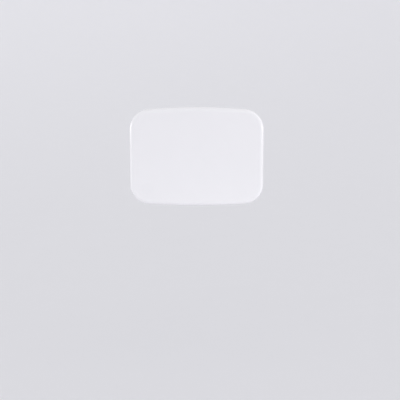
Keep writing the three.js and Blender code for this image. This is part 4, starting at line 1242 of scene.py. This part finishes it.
def make_antenna(node, side):
    """Small board with a folded copper trace."""
    low, high, middle = box(node)[:3]
    panel = softened(from_cad(node, 0.05, 1), 0.02, 1)
    finished(f"{node}_panel", panel, BOARD_GREEN, node)
    strip, pitch, folds = 1, 3, 5
    half = strip / 2
    front, rear = low.y + 1.2, high.y - 1.2
    lines = []
    for k in range(folds):
        x = middle.x + side * (k * pitch - 6)
        lines.append((x - half, x + half, front, rear))
        if k < folds - 1:
            turn_y = front if k % 2 else rear - strip
            lines.append((*sorted((x, x + side * pitch)), turn_y, turn_y + strip))
    flat = [prism([(x0, y0), (x1, y0), (x1, y1), (x0, y1)], "z", high.z, high.z + COPPER_THICKNESS)
        for x0, x1, y0, y1 in lines]
    pad_x = side * SOLDER_PAD_X
    pad = prism(rounded_rectangle(pad_x - 1, pad_x + 1, -20.4, -18, 0.3, 3), "z",
        low.z - COPPER_THICKNESS, low.z)
    finished(f"{node}_trace", joined(*flat, pad), COPPER)


def make_antenna_lead(node, side, board_z):
    """Thin coaxial lead down to a snap plug on the logic board."""
    hang = board_z - GAP - JACKET_RADIUS
    route = smooth_path([(side * x, y, z) for x, y, z in (
        (SOLDER_PAD_X, LEAD_START_Y, hang), (13.5, LEAD_START_Y, hang - 0.2), (16.5, -19.4, 44.6),
        (18, -20.2, 41), (19.6, -21.2, 37.6), (PLUG_X, -21.5, PLUG_Z))], 8)
    finished(f"{node}_jacket", wire(route, JACKET_RADIUS, 16), LEAD_BLACK, node)
    plug_x = side * PLUG_X
    collar = lathe([(0, 0), (0.75, 0), (0.75, 1.4), (0.62, 1.6), (0, 1.6)], route[-1],
        (route[-4] - route[-1]).normalized(), 24)
    shell = lathe([(0, 0), (1, 0), (1.25, 0.15), (1.25, 0.6), (1.1, 0.7), (1.1, 1.05), (1.2, 1.2),
        (1.2, 1.4), (1, 1.5), (0, 1.5)], (plug_x, LOGIC_REAR + GAP, PLUG_Z), (0, 1, 0), 40)
    seat = lathe([(0, 0), (1.4, 0), (1.4, 0.2), (0.9, 0.3), (0, 0.3)], (plug_x, LOGIC_REAR, PLUG_Z),
        (0, 1, 0), 32)
    finished(f"{node}_plug", joined(fused(shell, collar), seat), GOLD)
    core = [Vector((side * (SOLDER_PAD_X - 1.4), LEAD_START_Y, board_z - 0.2)),
        Vector((side * SOLDER_PAD_X, LEAD_START_Y, board_z - 0.25)),
        route[0] + Vector((side * 0.3, 0, 0))]
    finished(f"{node}_core", wire(core, 0.16), COPPER)


for number, side in ((1, -1), (2, 1)):
    make_antenna(f"antenna_{number}", side)
    make_antenna_lead(f"antenna_lead_{number}", side, box(f"antenna_{number}")[0].z)


# ---- stage, lights and camera ----

STAGE_GREY = plastic("stage_paper", (0.83, 0.829, 0.858), (0.826, 0.825, 0.854),
    (0.7, 0.8), (900, 0.00001), (4, 0.0001), 0.2)


def make_stage():
    """Pale round floor that sweeps up into a low wall."""
    floor, flat, reach, rise = -160, 700, 1900, 850
    profile = [(flat * step / 3, floor) for step in (1, 2)]
    profile += [(flat + reach * sine, floor + rise * (1 - cosine)) for sine, cosine in quarter_turn(24)]
    bm, rows = skin([ring(circle(radius, 96), "z", z) for radius, z in profile])
    cap(bm, rows[0], (0, 0, floor))
    mesh = mesh_of(bm)
    mesh.flip_normals()
    return mesh


new_piece("studio_sweep", make_stage(), STAGE_GREY)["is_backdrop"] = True

lit_pieces = bpy.data.collections.new("lit_pieces")
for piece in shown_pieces():
    lit_pieces.objects.link(piece)


def soft_box(name, place, size, power):
    """Area light turned to the object; it lights the object only."""
    light = bpy.data.lights.new(name, "AREA")
    light.shape = "RECTANGLE"
    light.size, light.size_y = (side * MM for side in size)
    light.energy = power
    obj = placed(name, light)
    target = Vector((0, -BODY_DEPTH / 2, BODY_MIDDLE))
    obj.location = Vector(place) * MM
    obj.rotation_euler = (target - Vector(place)).to_track_quat("-Z", "Y").to_euler()
    obj.visible_camera = False
    obj.light_linking.receiver_collection = lit_pieces


soft_box("key_right", (1350, -300, 120), (700, 350), 3.8)
soft_box("kicker_left", (-1250, 200, 120), (500, 350), 2.8)
soft_box("fill_left", (-1100, -600, 100), (900, 500), 1.0)
soft_box("fill_low", (20, -70, -155), (600, 400), 0.25)


def soft_sky():
    """World light that is brighter towards the right-hand front."""
    world = bpy.data.worlds.new("studio")
    world.use_nodes = True
    tree = world.node_tree
    direction = add(tree, "TexCoord", "Generated", {})
    brightest = Vector((0.5, -0.6, -0.75)).normalized()
    towards = add(tree, "VectorMath", "Value", {0: direction, 1: brightest}, operation="DOT_PRODUCT")
    connect(tree, tree.nodes["Background"], {
        "Color": (0.985, 0.985, 1.0), "Strength": mapped(tree, towards, 0.70, 1.43, -1, 1)})
    return world


scene.world = soft_sky()
scene.view_settings.view_transform = "Standard"

camera = placed("camera", bpy.data.cameras.new("camera"))
camera.data.sensor_width = 36.0
camera.data.lens = 76.5
camera.data.clip_start, camera.data.clip_end = 10 * MM, 20000 * MM
camera.location = Vector((2.5, -665.7, 90.7)) * MM
camera.rotation_euler = (radians(90 - 9.5), 0, 0)
scene.camera = camera
